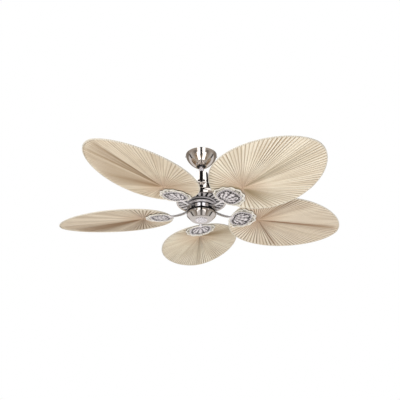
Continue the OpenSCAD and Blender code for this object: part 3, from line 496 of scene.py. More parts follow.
glow = {  # colours of the studio that only polished metal sees
    "black": (0.012, 0.012, 0.012), "white": (2.2, 2.2, 2.2), "warm": (0.50, 0.45, 0.40),
    "olive": (0.25, 0.21, 0.15), "soot": (0.20, 0.19, 0.18), "pale": (0.95, 0.93, 0.93),
    "dusk": (0.32, 0.28, 0.24), "ceiling": (0.16, 0.13, 0.11), "lilac": (0.75, 0.71, 0.75),
    "ash": (0.66, 0.64, 0.61),
}
zones = [  # from this height in degrees: half widths of a dark and a light strip, and the three colours
    (-90, 0.13, 0.46, "soot", "pale", "olive"),
    (-50, 0.13, 0.46, "black", "white", "warm"),
    (29.5, 0.39, 2, "black", "white", "white"),
    (47, 0.62, 2, "black", "white", "white"),
    (55, 0.17, 2, "black", "white", "white"),
    (62, 0.17, 0.36, "black", "white", "ceiling"),
]
bowlStreaks = [  # below the horizon, from this angle off the camera's side
    (26, "ash"), (31, "dusk"), (42, "soot"), (48, "dusk"), (60, "warm"), (74, "ash"), (91, "soot"),
    (95, "black"), (100, "soot"), (105, "pale"),
]
behind = [  # on the far side, from this height
    (-90, "olive"), (-55, "pale"), (0, "dusk"), (38, "lilac"), (50, "dusk"), (62, "ceiling"),
]
coverEdge = {"from": 93, "low": 32, "rightHigh": 60, "leftHigh": 39}  # in degrees


def lastFrom(steps, value):  # the step of a rising list that a value has reached
    return [step for step in steps if value >= step[0]][-1]


def studioGlow(azimuth, rise):  # azimuth is counted from the camera's side, positive to the right
    away, right = abs(azimuth), azimuth > 0
    across = abs(math.sin(math.radians(azimuth))) * math.cos(math.radians(rise))
    _, inner, outer, middle, beam, beside = lastFrom(zones, rise)
    if rise < 0 and bowlStreaks[0][0] <= away < studio["streakEnd"] and across >= outer:
        return glow[lastFrom(bowlStreaks, away)[1]]
    coverTop = coverEdge["rightHigh" if right else "leftHigh"]
    if away > coverEdge["from"] and coverEdge["low"] <= rise < coverTop:  # the cover is dark at its right
        return glow["black" if right else "white"]
    if away > studio["lightEnd"] and not (rise > zones[-1][0] and across < outer):
        return glow[lastFrom(behind, rise)[1]]
    return glow[middle if across < inner else beam if across < outer else beside]


def unseen(thing, *rays):  # hides it from some kinds of ray
    for ray in rays:
        setattr(thing, "visible_" + ray, False)


def glowingSheet(name, points, colours, faces):  # a sheet that only polished metal sees
    finish = Finish(name)
    seenColour = finish.add("Attribute", {"attribute_name": "glow"}, out=0)
    emission = finish.add("Emission", {}, {"Color": seenColour, "Strength": 1.0})
    finish.add("OutputMaterial", {}, {"Surface": emission})
    piece = makePiece(name, points, faces, [finish.material])
    layer = piece.data.attributes.new("glow", "FLOAT_COLOR", "POINT")
    values = [value for colour in colours for value in (*colour, 1.0)]
    layer.data.foreach_set("color", np.asarray(values, dtype=np.float32))
    unseen(piece, "camera", "diffuse", "transmission", "volume_scatter", "shadow")


def dome():
    wide, tall = studio["domeSteps"]
    points, colours = [], []
    for j in range(tall + 1):
        rise = -90 + 180 * j / tall
        for i in range(wide):
            azimuth = -180 + 360 * i / wide
            turn = math.radians(azimuth + studio["cameraSide"])
            level = math.cos(math.radians(rise))
            out = Vector((math.cos(turn) * level, math.sin(turn) * level, math.sin(math.radians(rise))))
            points.append(Vector(studio["centre"]) + out * studio["domeRadius"])
            colours.append(studioGlow(azimuth, rise))
    faces = []
    for j in range(tall):
        for i in range(wide):
            a, b = j * wide + i, j * wide + (i + 1) % wide
            faces.append((a, b, b + wide, a + wide))
    glowingSheet("studioDome", points, colours, faces)


strip = {"across": 0.064, "place": (-0.148, -0.140), "target": (0, 0, -0.02), "wide": 0.070, "long": 0.150,
         "radiance": 2.2}
for side, sideName in ((-1, "Left"), (1, "Right")):  # before the canopy, for polished metal alone
    power = strip["radiance"] * math.pi * strip["wide"] * strip["long"]
    place = (side * strip["across"], *strip["place"])
    lit = lamp("stripLamp" + sideName, place, strip["target"], strip["wide"], power)
    lit.data.shape, lit.data.size_y = "RECTANGLE", strip["long"]
    lit.visible_glossy = True
    unseen(lit, "camera", "diffuse", "transmission", "volume_scatter")

dome()
unseen(studioFloor, "glossy")
print("studio ready")

# From here on sizes are in mm, and an outline's corners are (radius, height) or (radius, height, round).
canopy = {"rim": 69, "height": 60, "cut": 68, "hole": 20, "wall": 1.4}


def canopyRadius(depth):
    return canopy["rim"] * (1 - (depth / canopy["cut"]) ** 1.6) ** 0.625


floorZ = -canopy["height"]
outside = [(canopyRadius(d), -d) for d in np.linspace(1.2, canopy["height"] - 1.4, 30)]
inside = [(canopyRadius(d) - canopy["wall"], -d) for d in np.linspace(canopy["height"] - 2, 0.5, 24)]
canopyLine = rounded([(canopy["rim"] - 1.4, 0), (canopy["rim"], 0, 0.5)] + outside
                     + [(canopyRadius(canopy["height"]), floorZ, 1.2), (canopy["hole"], floorZ, 0.6),
                        (canopy["hole"], floorZ + canopy["wall"], 0.4)] + inside)
# The hole's upper edge, of 6 points, and the inside are painted black as shade.
lastOutside = len(canopyLine) - len(inside) - 6
shell = Assembly()
shell.add(*turnProfile(canopyLine, 192))
shell.skins = [int(i % len(canopyLine) > lastOutside) for i in range(len(shell.faces))]
settle(shell.make("canopyShell", [chrome, paintedShadeBlack]), "ceiling_mount", "canopy")

rod = {"r": 10.5, "bore": 8.5, "top": -9.65, "low": -149}
turnedPiece("rodTube", [(rod["r"], rod["top"], 0.6), (rod["r"], rod["low"], 0.6),
                        (rod["bore"], rod["low"], 0.4), (rod["bore"], rod["top"], 0.4)],
            satinNickel, "hanging_fan", "downrod", 96)

collar = {"bore": 10.55, "lipR": 13.4, "waistR": 12.4, "top": -86, "low": -94.7, "lip": 2.3, "step": 0.4}
upper, lower = collar["top"] - collar["lip"], collar["low"] + collar["lip"]
turnedPiece("rodCollar", [(collar["bore"], collar["top"], 0.3), (collar["lipR"], collar["top"], 1.0),
                          (collar["lipR"], upper, 1.0), (collar["waistR"], upper - collar["step"], 0.3),
                          (collar["waistR"], lower + collar["step"], 0.3), (collar["lipR"], lower, 1.0),
                          (collar["lipR"], collar["low"], 1.0), (collar["bore"], collar["low"], 0.3)],
            chrome, "hanging_fan", "rod_collar", 96)

cover = {"bore": 10.85, "topR": 28.6, "r": 31.1, "footR": 33.4, "lowR": 29.6, "wall": 1.4, "lid": 1.5,
         "top": -95, "flare": -139, "foot": -149.2, "hem": -151.2, "low": -151.95}
turnedPiece("couplingCover", [(cover["bore"], cover["top"], 0.4), (cover["topR"], cover["top"], 2.0),
                              (cover["r"], cover["flare"], 1.0), (cover["footR"], cover["foot"], 0.6),
                              (cover["footR"], cover["hem"], 0.9), (cover["lowR"], cover["low"], 0.4),
                              (cover["r"] - cover["wall"], cover["flare"]),
                              (cover["topR"] - cover["wall"], cover["top"] - cover["lid"], 1.5),
                              (cover["bore"], cover["top"] - cover["lid"], 0.4)],
            chrome, "hanging_fan", "yoke_cover", 128)
print("canopy and rod made")

bell = {"neckR": 37, "neck": -152, "waistR": 62, "coneTop": -154.5, "coneHeight": 50, "hollow": 0.4,
        "domeR": 45, "domeHeight": 24, "rimTop": -229, "rimMiddle": -231.0, "rimLow": -240, "rimR": 107,
        "wall": 1.4, "hole": 16.9}


def bellLine(shrink):  # the cone and the dish under it
    swell = bell["waistR"] - bell["neckR"]
    height = bell["domeHeight"] - shrink
    cone, dish = [], []
    for t in np.linspace(0, 1, 14):
        out = swell * ((1 - bell["hollow"]) * t + bell["hollow"] * math.sin(t * math.pi / 2))
        cone.append((bell["neckR"] - shrink + out, bell["coneTop"] - bell["coneHeight"] * t))
    for t in np.linspace(math.radians(6), math.radians(90), 16):
        out, up = bell["domeR"] * math.sin(t), height * math.cos(t)
        dish.append((bell["waistR"] - shrink + out, bell["rimTop"] + up))
    return cone + dish


bellTop = [(bell["hole"], bell["neck"], 0.3), (bell["neckR"], bell["neck"], 1.0)]
bellRim = [(bell["rimR"], bell["rimMiddle"], 0.4), (bell["rimR"] - 1.0, bell["rimLow"], 1.2),
           (bell["rimR"] - 2.2, bell["rimLow"], 0.5)]
underTop = [(bell["neckR"] - bell["wall"], bell["neck"] - bell["wall"], 0.5),
            (bell["hole"], bell["neck"] - bell["wall"], 0.3)]
turnedPiece("bellHousing", bellTop + bellLine(0) + bellRim + bellLine(bell["wall"])[::-1] + underTop,
            chrome, "hanging_fan", "motor_housing", 216)

ringParts = [  # two bright steps with a gap between them, painted black as shade
    (0, [(49.2, -238.05, 0.3), (60, -238.05, 0.8), (60, -241.2, 1.2), (49.2, -241.2, 0.5)]),
    (1, [(49.2, -241.2), (54, -241.2), (54, -249.2), (49.2, -249.2)]),
    (0, [(49.2, -249.2, 0.4), (59.4, -249.2, 1.8), (60.2, -251.0, 0.9), (60.2, -257.6, 1.6),
         (58.3, -259.5, 1.0), (49.2, -259.5, 0.5)]),
]
ringShape = Assembly()
for skin, outline in ringParts:
    ringShape.turn(outline, 160, skin)
settle(ringShape.make("steppedRing", [ringCasting, paintedShadeBlack]), "hanging_fan", "step_ring")

disc = {"face": -238.02, "trimFoot": -238.1, "bossFoot": -238.0, "bosses": 24}
trims = {
    "ventTrimOuter": {"near": 96.9, "far": 105.4, "deep": 2.0, "finish": chrome},
    # the inner trim is painted black as shade
    "ventTrimInner": {"near": 62.4, "far": 65.6, "deep": 1.2, "finish": paintedShadeBlack},
}
for name, trim in trims.items():
    low, bend = disc["trimFoot"] - trim["deep"], trim["deep"] * 0.9
    ring = Assembly()
    ring.turn([(trim["near"], disc["face"]), (trim["near"], low, bend), (trim["far"], low, bend),
               (trim["far"], disc["face"])], 160)
    settle(ring.make(name, [trim["finish"]]), "hanging_fan")

bossRows = [(74, 5.0, 4.2, 2.2), (84, 6.0, 5.4, 2.8), (93.5, 3.2, 4.4, 2.0)]  # radius, half widths, height
pebble = rounded([(0.05, 0), (1, 0), (1, -0.6, 0.5), (0.05, -1, 0.3)], 6)
points, faces = turnProfile(pebble, 18)
bosses = Assembly()
for k in range(disc["bosses"]):  # a row of three between each two vents
    turn = Matrix.Rotation(math.radians((k + 0.5) * 360 / disc["bosses"]), 4, "Z")
    for place, length, width, high in bossRows:
        spots = [(x * length + place, y * width, disc["bossFoot"] + z * high) for x, y, z in points]
        bosses.add(spots, faces, [0.45 - 0.55 * z for x, y, z in points], matrix=turn)
settle(bosses.make("ventBosses", [ventRelief]), "hanging_fan")

bowl = {"r": 62, "top": -285.99, "ring": -290.4, "ringIn": 58.5, "ringDraw": 0.6, "band": -298, "bandR": 61.2,
        "floorR": 44, "floor": -318, "hole": 20.1, "wall": 1.4}


def bowlLine(draw):  # outer side of the bowl, or the inner one when drawn in by the wall
    return [(bowl["r"] - draw, bowl["ring"]), (bowl["bandR"] - draw, bowl["band"], 1.5),
            (bowl["floorR"] + 1.2 - draw, bowl["floor"] + 1.1 + draw * 0.6, 2.0),
            (bowl["floorR"] - 3 - draw, bowl["floor"] + draw, 2.0)]


bowlShape = Assembly()
ringR = bowl["r"] - bowl["ringDraw"]
# the ring at the bowl's top is painted black as shade
bowlShape.turn([(bowl["ringIn"], bowl["top"]), (ringR, bowl["top"], 0.4), (ringR, bowl["ring"]),
                (bowl["ringIn"], bowl["ring"])], 160, 1)
holeEdge = [(bowl["hole"], bowl["floor"], 0.4), (bowl["hole"], bowl["floor"] + bowl["wall"], 0.3)]
bowlShape.turn(bowlLine(0) + holeEdge + bowlLine(bowl["wall"])[::-1], 160)
settle(bowlShape.make("switchBowl", [chrome, paintedShadeBlack]), "hanging_fan", "switch_bowl")

cap = {"r": 26, "lowR": 24.6, "stemR": 20, "middle": 0.6, "low": -320.5, "rest": -318.1, "top": -316.7}
turnedPiece("bowlCap", [(cap["middle"], cap["low"]), (cap["lowR"], cap["low"], 0.8),
                        (cap["r"], cap["rest"], 0.5), (cap["stemR"], cap["rest"]),
                        (cap["stemR"], cap["top"], 0.4), (cap["middle"], cap["top"])],
            capCasting, "hanging_fan", "bottom_cap", 120)
print("housing made")

blade = {"count": 5, "first": 90, "drop": -280, "pitch": -10.8, "lift": -0.64}
apart = 360 / blade["count"]
hub = {
    "r": 61, "top": -262, "discLow": -266, "hole": 14, "gap": 10.2,
    "band": [(58, -265.9), (61, -265.9, 0.3), (60.9, -267.2, 0.4), (60.2, -280.2, 0.4), (60.8, -280.9, 0.3),
             (61, -281.4, 0.3), (58, -281.4)],
    "foot": [(58, -281.4), (60.6, -281.4), (60.6, -283, 0.6), (58, -283, 0.4)],
    "screwSeat": 60.2, "screwZ": -273, "screwR": 2.0, "screwTurn": 13,
}
hubShape = Assembly()
# the top disc, the feet and the screws take the second finish, painted black as shade
hubShape.turn([(hub["hole"], hub["top"], 0.3), (hub["r"], hub["top"], 1.2), (hub["r"], hub["discLow"], 0.2),
               (hub["hole"], hub["discLow"], 0.3)], 160, 1)
halfGap = math.degrees(math.asin(hub["gap"] / hub["r"]))  # the arms leave through the gaps
screwLine = rounded([(0.1, 0), (hub["screwR"], 0), (hub["screwR"], 1.0, 0.5), (0.1, 1.0)], 2)
for k in range(blade["count"]):
    start, sweep = blade["first"] + apart * k + halfGap, apart - 2 * halfGap
    hubShape.add(*turnProfile(rounded(hub["band"]), 36, start, sweep))
    hubShape.add(*turnProfile(rounded(hub["foot"]), 36, start, sweep), skin=1)
    for turn in (-hub["screwTurn"], hub["screwTurn"]):
        outward = (Matrix.Rotation(math.radians(start + sweep / 2 + turn), 4, "Z")
                   @ Matrix.Translation((hub["screwSeat"], 0, hub["screwZ"]))
                   @ Matrix.Rotation(math.radians(90), 4, "Y"))
        hubShape.add(*turnProfile(screwLine, 16), skin=1, matrix=outward)
settle(hubShape.make("hubBand", [hubNickel, paintedShadeBlack]), "rotor", "flywheel")
print("hub made")

iron = {
    "middle": 172, "innerLength": 42, "outerLength": 78, "halfWidth": 68, "lobes": 12, "wave": 0.035,
    "top": -3.1, "low": -7.1, "rim": 2.1, "beads": 96, "lineGap": 1.2, "lineR": 0.9, "innerRim": 1.3,
    "screwPads": ((160, 0), (200, 22), (200, -22)), "padR": 6.6, "padHole": 2.3, "bossR": 9,
    "brightEnd": 0.95,  # in radians, as the start of the curls is; the painted highlight on the openwork's outer end stops here
}
# dull is how much darker the scrolls and inner drops are painted past brightEnd, which leaves a painted
# highlight on the outer end
curl = {"thick": 1.35, "turns": 1.35, "count": 36, "tightens": 0.82, "least": 2.8, "spacing": 1.97,
        "until": 150, "start": 2.2, "dull": 0.34}  # until this angle in degrees
drop = {"outerGap": 1.5, "outerR": 1.8, "innerGap": 3.6, "innerR": 1.6}  # outside and inside the scrolls
shield = {"middle": 182, "half": 42, "across": 1.14, "power": 3.0, "low": -8.7, "deep": 1.7, "ribs": 9,
          "tip": 0.74, "dots": 0.83, "dotCount": 22, "border": 0.94, "edgeRound": 1.4, "rings": 34,
          "spokes": 200}
arm = {"start": 55, "end": 138, "startZ": -268.75, "endZ": -284.2, "curve": 2.8, "width": 15.0, "thick": 5.5,
       "swell": 3.6, "rib": 0.40, "ribWidth": 0.16, "startWider": 0.28, "endWider": 0.30, "steps": 28,
       "sides": 20}
foot = {"near": 22, "far": 55, "half": 15, "round": 5, "top": -266.02, "low": -272}


def turnedTo(k):  # round the shaft, to one blade
    return Matrix.Rotation(math.radians(blade["first"] + apart * k), 4, "Z")


def bladeFrame(k):  # X runs along the blade, and Z is square to it
    return (turnedTo(k) @ Matrix.Translation((0, 0, blade["drop"]))
            @ Matrix.Rotation(math.radians(blade["lift"]), 4, "Y")
            @ Matrix.Rotation(math.radians(blade["pitch"]), 4, "X"))


def plateEdge(a, draw):  # point of the plate's scalloped edge, drawn in by some mm
    wave = (1 + iron["wave"] * math.cos(iron["lobes"] * a)) / (1 + iron["wave"])
    length = iron["outerLength"] if math.cos(a) >= 0 else iron["innerLength"]
    x, y = wave * length * math.cos(a), wave * iron["halfWidth"] * math.sin(a)
    share = 1 - draw / math.hypot(x, y)
    return iron["middle"] + x * share, y * share


def shieldEdge(a, grow=0.0):  # point of the rounded square of the shield
    power = shield["power"]
    out = shield["half"] / (abs(math.cos(a)) ** power + abs(math.sin(a)) ** power) ** (1 / power) + grow
    return shield["middle"] + out * math.cos(a), out * math.sin(a) * shield["across"]


def edgeTube(edge, gap, radius, z, count, beads=0):  # a closed tube that follows an edge, beaded or plain
    angles = [2 * math.pi * i / count for i in range(count)]
    path = [(*edge(a, gap), z) for a in angles]
    radii = [radius * (1 + (0.22 * abs(math.cos(beads * a / 2)) if beads else 0)) for a in angles]
    points, faces, facing = sweepTube(path, radii, closed=True)
    return points, faces, [0.45 + 0.55 * f for f in facing]


def scroll(place, radius, start, hand, z):  # a flat spiral that ends in a bead
    path, radii = [], []
    for i in range(curl["count"]):
        t = i / (curl["count"] - 1)
        out = radius * (1 - curl["tightens"] * t ** 0.85)
        turn = start + hand * t * curl["turns"] * 2 * math.pi
        path.append((place[0] + out * math.cos(turn), place[1] + out * math.sin(turn), z))
        endBead = 1.0 if i > curl["count"] - 3 else 0
        radii.append(curl["thick"] * (1 - 0.2 * t) + endBead + 0.35 * math.sin(9 * t) ** 2)
    points, faces, facing = sweepTube(path, radii, flat=1.2)
    return points, faces, [0.40 + 0.60 * f for f in facing]


def turnedAt(place, outline, steps, roundSteps=5):  # a small turned form that stands on the plate
    points, faces = turnProfile(rounded(outline, roundSteps), steps)
    return [(x + place[0], y + place[1], z) for x, y, z in points], faces


def bead(place, radius, z):  # a low round drop on the underside
    low = z - radius * 0.8
    return turnedAt(place, [(0.05, z), (radius, z), (radius, low, radius * 0.8), (0.05, low)], 14, 4)


def shieldRelief(a, s):  # height of the cast relief, 0 in the hollows to 1 on the high places
    x = s * math.cos(a) * shield["half"] + shield["half"] * 0.94  # from the point that the shell's ribs leave
    y = s * math.sin(a) * shield["half"]
    turn, far = math.atan2(y, x), math.hypot(x, y) / shield["half"]
    rib = abs(math.cos(turn * shield["ribs"])) ** 0.6
    tip = 1 / (1 + math.exp(-(shield["tip"] - s) / 0.02))
    scales = 0.5 + 0.5 * math.cos(far * 17 + 2.2 * abs(math.sin(turn * shield["ribs"])))
    border = math.exp(-((s - shield["border"]) / 0.04) ** 2)
    dots = math.exp(-((s - shield["dots"]) / 0.035) ** 2) * max(0.0, math.cos(a * shield["dotCount"])) ** 0.5
    shell = rib * (0.55 + 0.45 * scales) * min(1.0, far * 2.2) * tip
    return max(0.0, min(1.0, shell + border + dots))


def openwork(shape, inFrame, z):  # scrolls between the shield and the edge, the same on both sides
    a, hand = 0.0, 1
    while a < math.radians(curl["until"]):
        inner, outer = Vector(shieldEdge(a, 1.8)), Vector(plateEdge(a, iron["rim"] * 2))
        radius = max((outer - inner).length / 2, curl["least"])
        place = (inner + outer) / 2
        reach = (place - Vector((iron["middle"], 0))).length
        dull = 0.0 if a < iron["brightEnd"] else curl["dull"]  # painted highlight: the outer end is kept brighter than the rest
        drops = ((plateEdge, iron["rim"] * 2 + drop["outerGap"], drop["outerR"], 0.0),
                 (shieldEdge, drop["innerGap"], drop["innerR"], dull))
        for side in ((1, -1) if a > 0 else (1,)):
            spot = (place.x, place.y * side)
            points, faces, relief = scroll(spot, radius, side * (a + curl["start"]), hand * side, z)
            shape.add(points, faces, [high - dull for high in relief], 2, inFrame)
            stride = radius / reach
            for edge, gap, size, fade in drops:
                between = edge(side * (a + stride), gap)
                shape.add(*bead(between, size, z + 1.0), 0.9 - fade, 2, inFrame)
        a += curl["spacing"] * radius / reach
        hand = -hand


def shieldSolid():  # relief below, flat above
    rings, spokes, middle = shield["rings"], shield["spokes"], shield["middle"]
    points, relief = [], []
    for face in (0, 1):
        for j in range(rings + 1):
            s = max(j / rings, 0.004)
            for i in range(spokes):
                angle = 2 * math.pi * i / spokes
                ex, ey = shieldEdge(angle)
                high = shieldRelief(angle, s)
                lifted = shield["edgeRound"] * max(0, (s - 0.94) / 0.06) ** 2
                low = shield["low"] + shield["deep"] - shield["deep"] * high * (1 - 0.25 * s) + lifted
                points.append((middle + (ex - middle) * s, ey * s, iron["top"] if face else low))
                relief.append(high if not face else 0.5)
    return points, closedDisc(rings, spokes), relief


def buildIron(k):
    shape = Assembly()
    inFrame = bladeFrame(k)
    middleZ = (iron["top"] + iron["low"]) / 2
    beaded = edgeTube(plateEdge, iron["rim"], iron["rim"], middleZ, 288, iron["beads"])
    shape.add(*beaded, skin=2, matrix=inFrame)
    line = edgeTube(plateEdge, iron["rim"] * 2 + iron["lineGap"], iron["lineR"], middleZ - 0.5, 240)
    shape.add(*line, skin=2, matrix=inFrame)
    shape.add(*edgeTube(shieldEdge, 1.2, iron["innerRim"], middleZ - 1.0, 200), matrix=inFrame)
    openwork(shape, inFrame, middleZ - 0.3)
    shape.add(*shieldSolid(), matrix=inFrame)
    top, low = iron["top"], shield["low"]
    pad = [(iron["padHole"], top, 0.2), (iron["padR"], top, 0.4), (iron["padR"] - 0.4, low, 1.0),
           (iron["padHole"], low, 0.3)]
    for place in iron["screwPads"]:
        shape.add(*turnedAt(place, pad, 28), 0.75, matrix=inFrame)
    boss = [(0.1, top), (iron["bossR"], top, 0.5), (iron["bossR"] - 0.4, low, 1.6), (0.1, low)]
    shape.add(*turnedAt((arm["end"] + 1, 0), boss, 32, 4), 0.7, matrix=inFrame)
    shape.add(*armShape(), 1, turnedTo(k))
    shape.add(*footBlock(), 0.6, 1, turnedTo(k))
    piece = shape.make(f"bladeIron{k + 1}", [castRelief, armCasting, castBright])
    settle(piece, "rotor", f"iron_{k + 1}")


def footBlock():  # the block that the arm is screwed to the flywheel with
    near, far, half, bend = foot["near"], foot["far"], foot["half"], foot["round"]
    line = rounded([(near, -half, bend), (far, -half, bend), (far, half, bend), (near, half, bend)])
    points = [(x, y, z) for z in (foot["low"], foot["top"]) for x, y in line]
    count = len(line)
    faces = [tuple(range(count)), tuple(range(2 * count - 1, count - 1, -1))]
    faces += [(i, (i + 1) % count, count + (i + 1) % count, count + i) for i in range(count)]
    return points, faces


def armShape():  # the dropping arm, with a raised rib along its underside
    steps, sides = arm["steps"], arm["sides"]
    section, high = [], []
    for i in range(sides):
        turn = 2 * math.pi * i / sides
        y = math.copysign(abs(math.cos(turn)) ** 0.7, math.cos(turn)) * 0.5
        z = math.copysign(abs(math.sin(turn)) ** 0.8, math.sin(turn)) * 0.5
        if z < 0:
            z *= 0.72 + arm["rib"] * math.exp(-(y / arm["ribWidth"]) ** 2)
        section.append((y, z))
        high.append(0.30 + (0.70 * math.exp(-(y / 0.30) ** 2) if z < 0 else 0.25))
    points, faces = [], []
    for i in range(steps + 1):
        s = i / steps
        x = arm["start"] + (arm["end"] - arm["start"]) * s
        z = arm["endZ"] + (arm["startZ"] - arm["endZ"]) * (1 - s) ** arm["curve"]
        wider = 1 + arm["endWider"] * math.exp(-((s - 0.97) / 0.10) ** 2)
        wider += arm["startWider"] * math.exp(-(s / 0.12) ** 2)
        thick = arm["thick"] + arm["swell"] * math.sin(math.pi * s)
        points += [(x, y * arm["width"] * wider, z + h * thick) for y, h in section]
    for i in range(steps):
        for j in range(sides):
            n = (j + 1) % sides
            faces.append((i * sides + j, (i + 1) * sides + j, (i + 1) * sides + n, i * sides + n))
    faces += [tuple(range(sides)), tuple(range(steps * sides, (steps + 1) * sides))]
    return points, faces, high * (steps + 1)


for k in range(blade["count"]):
    buildIron(k)
print("irons made")

leaf = {
    "tip": 660, "root": 138, "wide": 371, "halfWidth": 183, "fan": 262, "rootPower": 2.2, "tipPower": 1.8,
    "pleats": 80, "phases": (-1, -0.85, -0.1, 1, -0.1, -0.85), "rings": 18, "ridge": 2.3, "foldDepth": 2.8,
    "thick": 1.4, "inset": 4.3, "narrowFold": 8, "untrimmed": (0, 10, 0), "firstSeed": 11, "reachUnit": 400,
    "fullPleat": 110, "fullFold": 120, "fullDark": 20,  # mm from the middle of the fan
}
bound = {"steps": 300, "wide": 4.6, "half": 2.2}
leafLook = [  # each leaf's first colour darkens the whole leaf as painted shade for how the light falls on it, and its second is the colour of the painted shade in its folds; a fold is (angle, width, darkness of its painted shade, evenness), and a trim is (angle, width, depth in mm)
    {"paintedLeafShade": (0.98, 0.975, 0.95), "paintedFoldShade": (0.25, 0.165, 0.075), "fade": 0.5, "pleat": 0.9,
     "folds": [(0, 2.4, 0.8, 0.5), (-92, 30, 0.92, 0.95), (-34, 2.4, 0.5, 0.3), (150, 30, 0.7, 0.6)]},
    {"paintedLeafShade": (0.86, 0.82, 0.785), "paintedFoldShade": (0.26, 0.145, 0.06), "fade": 0.2, "pleat": 1.25,
     "folds": [(-17, 19, 0.88, 0.95), (-9, 2.6, 1.0, 0.8), (-32, 6, 0.7, 0.7), (3, 3.0, 0.8, 0.5),
               (14, 4.0, 0.7, 0.5), (30, 4.0, 0.6, 0.5), (52, 6, 0.5, 0.5), (-60, 24, 0.55, 0.6)]},
    {"paintedLeafShade": (0.96, 0.94, 0.92), "paintedFoldShade": (0.26, 0.15, 0.06), "fade": 0.3, "pleat": 0.72,
     "folds": [(-2.5, 2.8, 1.0, 0.95), (-7, 4.5, 0.8, 0.9), (-12, 2.4, 0.95, 0.8), (-20, 5.0, 0.6, 0.7),
               (-42, 26, 0.78, 0.95), (9, 2.0, 0.45, 0.2), (100, 44, 0.5, 0.5)]},
    {"paintedLeafShade": (1.0, 1.0, 1.0), "paintedFoldShade": (0.28, 0.205, 0.10), "fade": 0.8, "pleat": 1.0,
     "trim": (-140, 22, 9),
     "folds": [(2.5, 3.6, 0.95, 0.6), (-2, 1.6, 1.0, 0.5), (8, 2.0, 0.9, 0.4), (85, 34, 1.0, 0.85),
               (-155, 40, 1.0, 0.9)]},
    {"paintedLeafShade": (0.89, 0.855, 0.83), "paintedFoldShade": (0.30, 0.165, 0.075), "fade": 0.3, "pleat": 1.1,
     "folds": [(-3.5, 2.8, 1.0, 0.9), (1.0, 1.6, 0.6, 0.4), (46, 2.8, 0.9, 0.7), (-64, 10, 0.8, 0.6),
               (-40, 4, 0.5, 0.4)]},
]


def underPlate(u, v):  # painted shadow: the leaf is darkest where the iron's openwork covers it
    length = iron["outerLength"] if u > iron["middle"] else iron["innerLength"]
    a = math.atan2(v / iron["halfWidth"], (u - iron["middle"]) / length)
    eu, ev = plateEdge(a, 3.0)
    return math.hypot(u - iron["middle"], v) < math.hypot(eu - iron["middle"], ev)


def leafEdge(g):  # point of the oval edge that the leaves share
    c, s = math.cos(g), math.sin(g)
    power = leaf["tipPower"] if c >= 0 else leaf["rootPower"]
    end = leaf["tip"] if c >= 0 else leaf["root"]
    u = leaf["wide"] + (end - leaf["wide"]) * abs(c) ** (2 / power)
    return u, math.copysign(leaf["halfWidth"] * abs(s) ** (2 / power), s)


def angleApart(angle, middle):
    return (angle - middle + 180) % 360 - 180


def ownEdge(k, g):  # the edge of one leaf, which may be trimmed a little at one place
    u, v = leafEdge(g)
    middle, width, depth = leafLook[k].get("trim", leaf["untrimmed"])
    away = angleApart(math.degrees(g), middle)
    share = 1 - depth * math.exp(-(away / width) ** 2) / math.hypot(u - leaf["fan"], v)
    return leaf["fan"] + (u - leaf["fan"]) * share, v * share


def evenStops(count):  # parameters of the edge that space the folds evenly along it, closer at the tip
    fine = [2 * math.pi * i / 3600 - math.pi for i in range(3601)]
    walked = [0.0]
    for a, b in zip(fine, fine[1:]):
        p, q = Vector(leafEdge(a)), Vector(leafEdge(b))
        closer = 1 + 0.5 * max(0.0, math.cos((a + b) / 2)) ** 3
        walked.append(walked[-1] + (q - p).length * closer)
    return np.interp([walked[-1] * i / count for i in range(count)], walked, fine)


spokeStops = evenStops(leaf["pleats"] * len(leaf["phases"]))


def smoothRandom(seed, count, spread):  # a wavy list of numbers from 0 to 1 that closes on itself
    draw = random.Random(seed)
    raw = np.array([draw.random() for _ in range(count)])
    kernel = np.exp(-np.linspace(-2, 2, 2 * spread + 1) ** 2)
    wide = np.convolve(np.concatenate([raw[-spread:], raw, raw[:spread]]), kernel / kernel.sum(), "valid")
    return (wide - wide.min()) / (wide.max() - wide.min())


def foldsAt(look, angle, share, out, valley):  # how deep the leaf's folds are at a point, and how dark their painted shade is
    dip, dark = 0.0, 0.0
    for middle, width, shadow, even in look["folds"]:
        near = math.exp(-(angleApart(angle, middle) / width) ** 2)
        if width < leaf["narrowFold"]:  # pressed in as well as dark
            dip += leaf["foldDepth"] * shadow * near * min(1.0, out / leaf["fullFold"])
        streak = near * shadow * min(1.0, out / leaf["fullDark"]) * (1 - share) ** look["fade"]
        dark = max(dark, streak * (even + (1 - even) * valley))
    return dip, dark


def toBlade(piece, k):  # from flat to its place in the fan
    piece.data.transform(Matrix.Scale(mm, 4) @ bladeFrame(k) @ Matrix.Scale(1 / mm, 4))


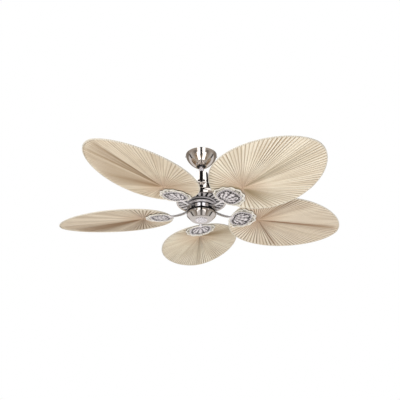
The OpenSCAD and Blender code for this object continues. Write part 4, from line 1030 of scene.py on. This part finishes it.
def buildLeaf(k):
    look, seed = leafLook[k], leaf["firstSeed"] + k
    spokes, rings = len(spokeStops), leaf["rings"]
    swell = smoothRandom(seed, leaf["pleats"], 2)
    draw = random.Random(seed + 50)
    strength = [look["pleat"] * (0.30 + 0.40 * swell[i] + 0.35 * draw.random())
                for i in range(leaf["pleats"])]
    shares = [0.02 + 0.98 * (j / rings) ** 1.25 for j in range(rings + 1)]
    points, fan, reach, fold, wedge = [], [], [], [], []
    for face in (1, -1):
        for share in shares:
            for i, g in enumerate(spokeStops):
                u, v = ownEdge(k, g)
                du, dv = u - leaf["fan"], v
                far = math.hypot(du, dv)
                out = share * (far - leaf["inset"])
                pu, pv = leaf["fan"] + du / far * out, dv / far * out
                angle = math.degrees(math.atan2(dv, du))
                phase = leaf["phases"][i % len(leaf["phases"])]
                strong = strength[i // len(leaf["phases"])]
                size = leaf["ridge"] * min(1.0, out / leaf["fullPleat"]) ** 0.8 * strong
                size *= 1 - 0.35 * max(0.0, (share - 0.9) / 0.1)
                valley = 1.0 if phase > 0 else 0.5 if phase > -0.5 else 0.0
                dip, dark = foldsAt(look, angle, share, out, valley)
                # painted shadow under the iron
                if face < 0 and underPlate(pu, pv):
                    dark = 1.0
                lift = size * phase + dip
                points.append((pu * mm, pv * mm, (lift + face * leaf["thick"] / 2) * mm))
                fan.append(angle / 360)
                reach.append(out / leaf["reachUnit"])
                fold.append(-phase * strong)
                wedge.append(dark)
    marks = {"fan": fan, "reach": reach, "fold": fold, "wedge": wedge}
    palm = palmLeaf(f"palmLeaf{k + 1}", look["paintedLeafShade"], look["paintedFoldShade"])
    piece = makePiece(f"palmLeaf{k + 1}", points, closedDisc(rings, spokes), [palm], marks, 22)
    toBlade(piece, k)
    settle(piece, "rotor", f"leaf_{k + 1}")


def buildBinding(k):
    count, wide, half = bound["steps"], bound["wide"], bound["half"]
    section = rounded([(0, -half, 1.6), (wide, -half, 0.8), (wide, half, 0.8), (0, half, 1.6)], 3)
    points, around = [], []
    for i in range(count):
        u, v = ownEdge(k, 2 * math.pi * i / count)
        du, dv = u - leaf["fan"], v
        far = math.hypot(du, dv)
        for draw, z in section:
            share = (far - draw) / far
            points.append(((leaf["fan"] + du * share) * mm, dv * share * mm, z * mm))
            around.append(i / count)
    size = len(section)
    faces = []
    for i in range(count):
        a, b = i * size, (i + 1) % count * size
        faces += [(a + j, b + j, b + (j + 1) % size, a + (j + 1) % size) for j in range(size)]
    piece = makePiece(f"leafBinding{k + 1}", points, faces, [binding], {"around": around}, 50)
    toBlade(piece, k)
    settle(piece, "rotor", f"leaf_binding_{k + 1}")


for k in range(blade["count"]):
    buildLeaf(k)
    buildBinding(k)
print("leaves made")
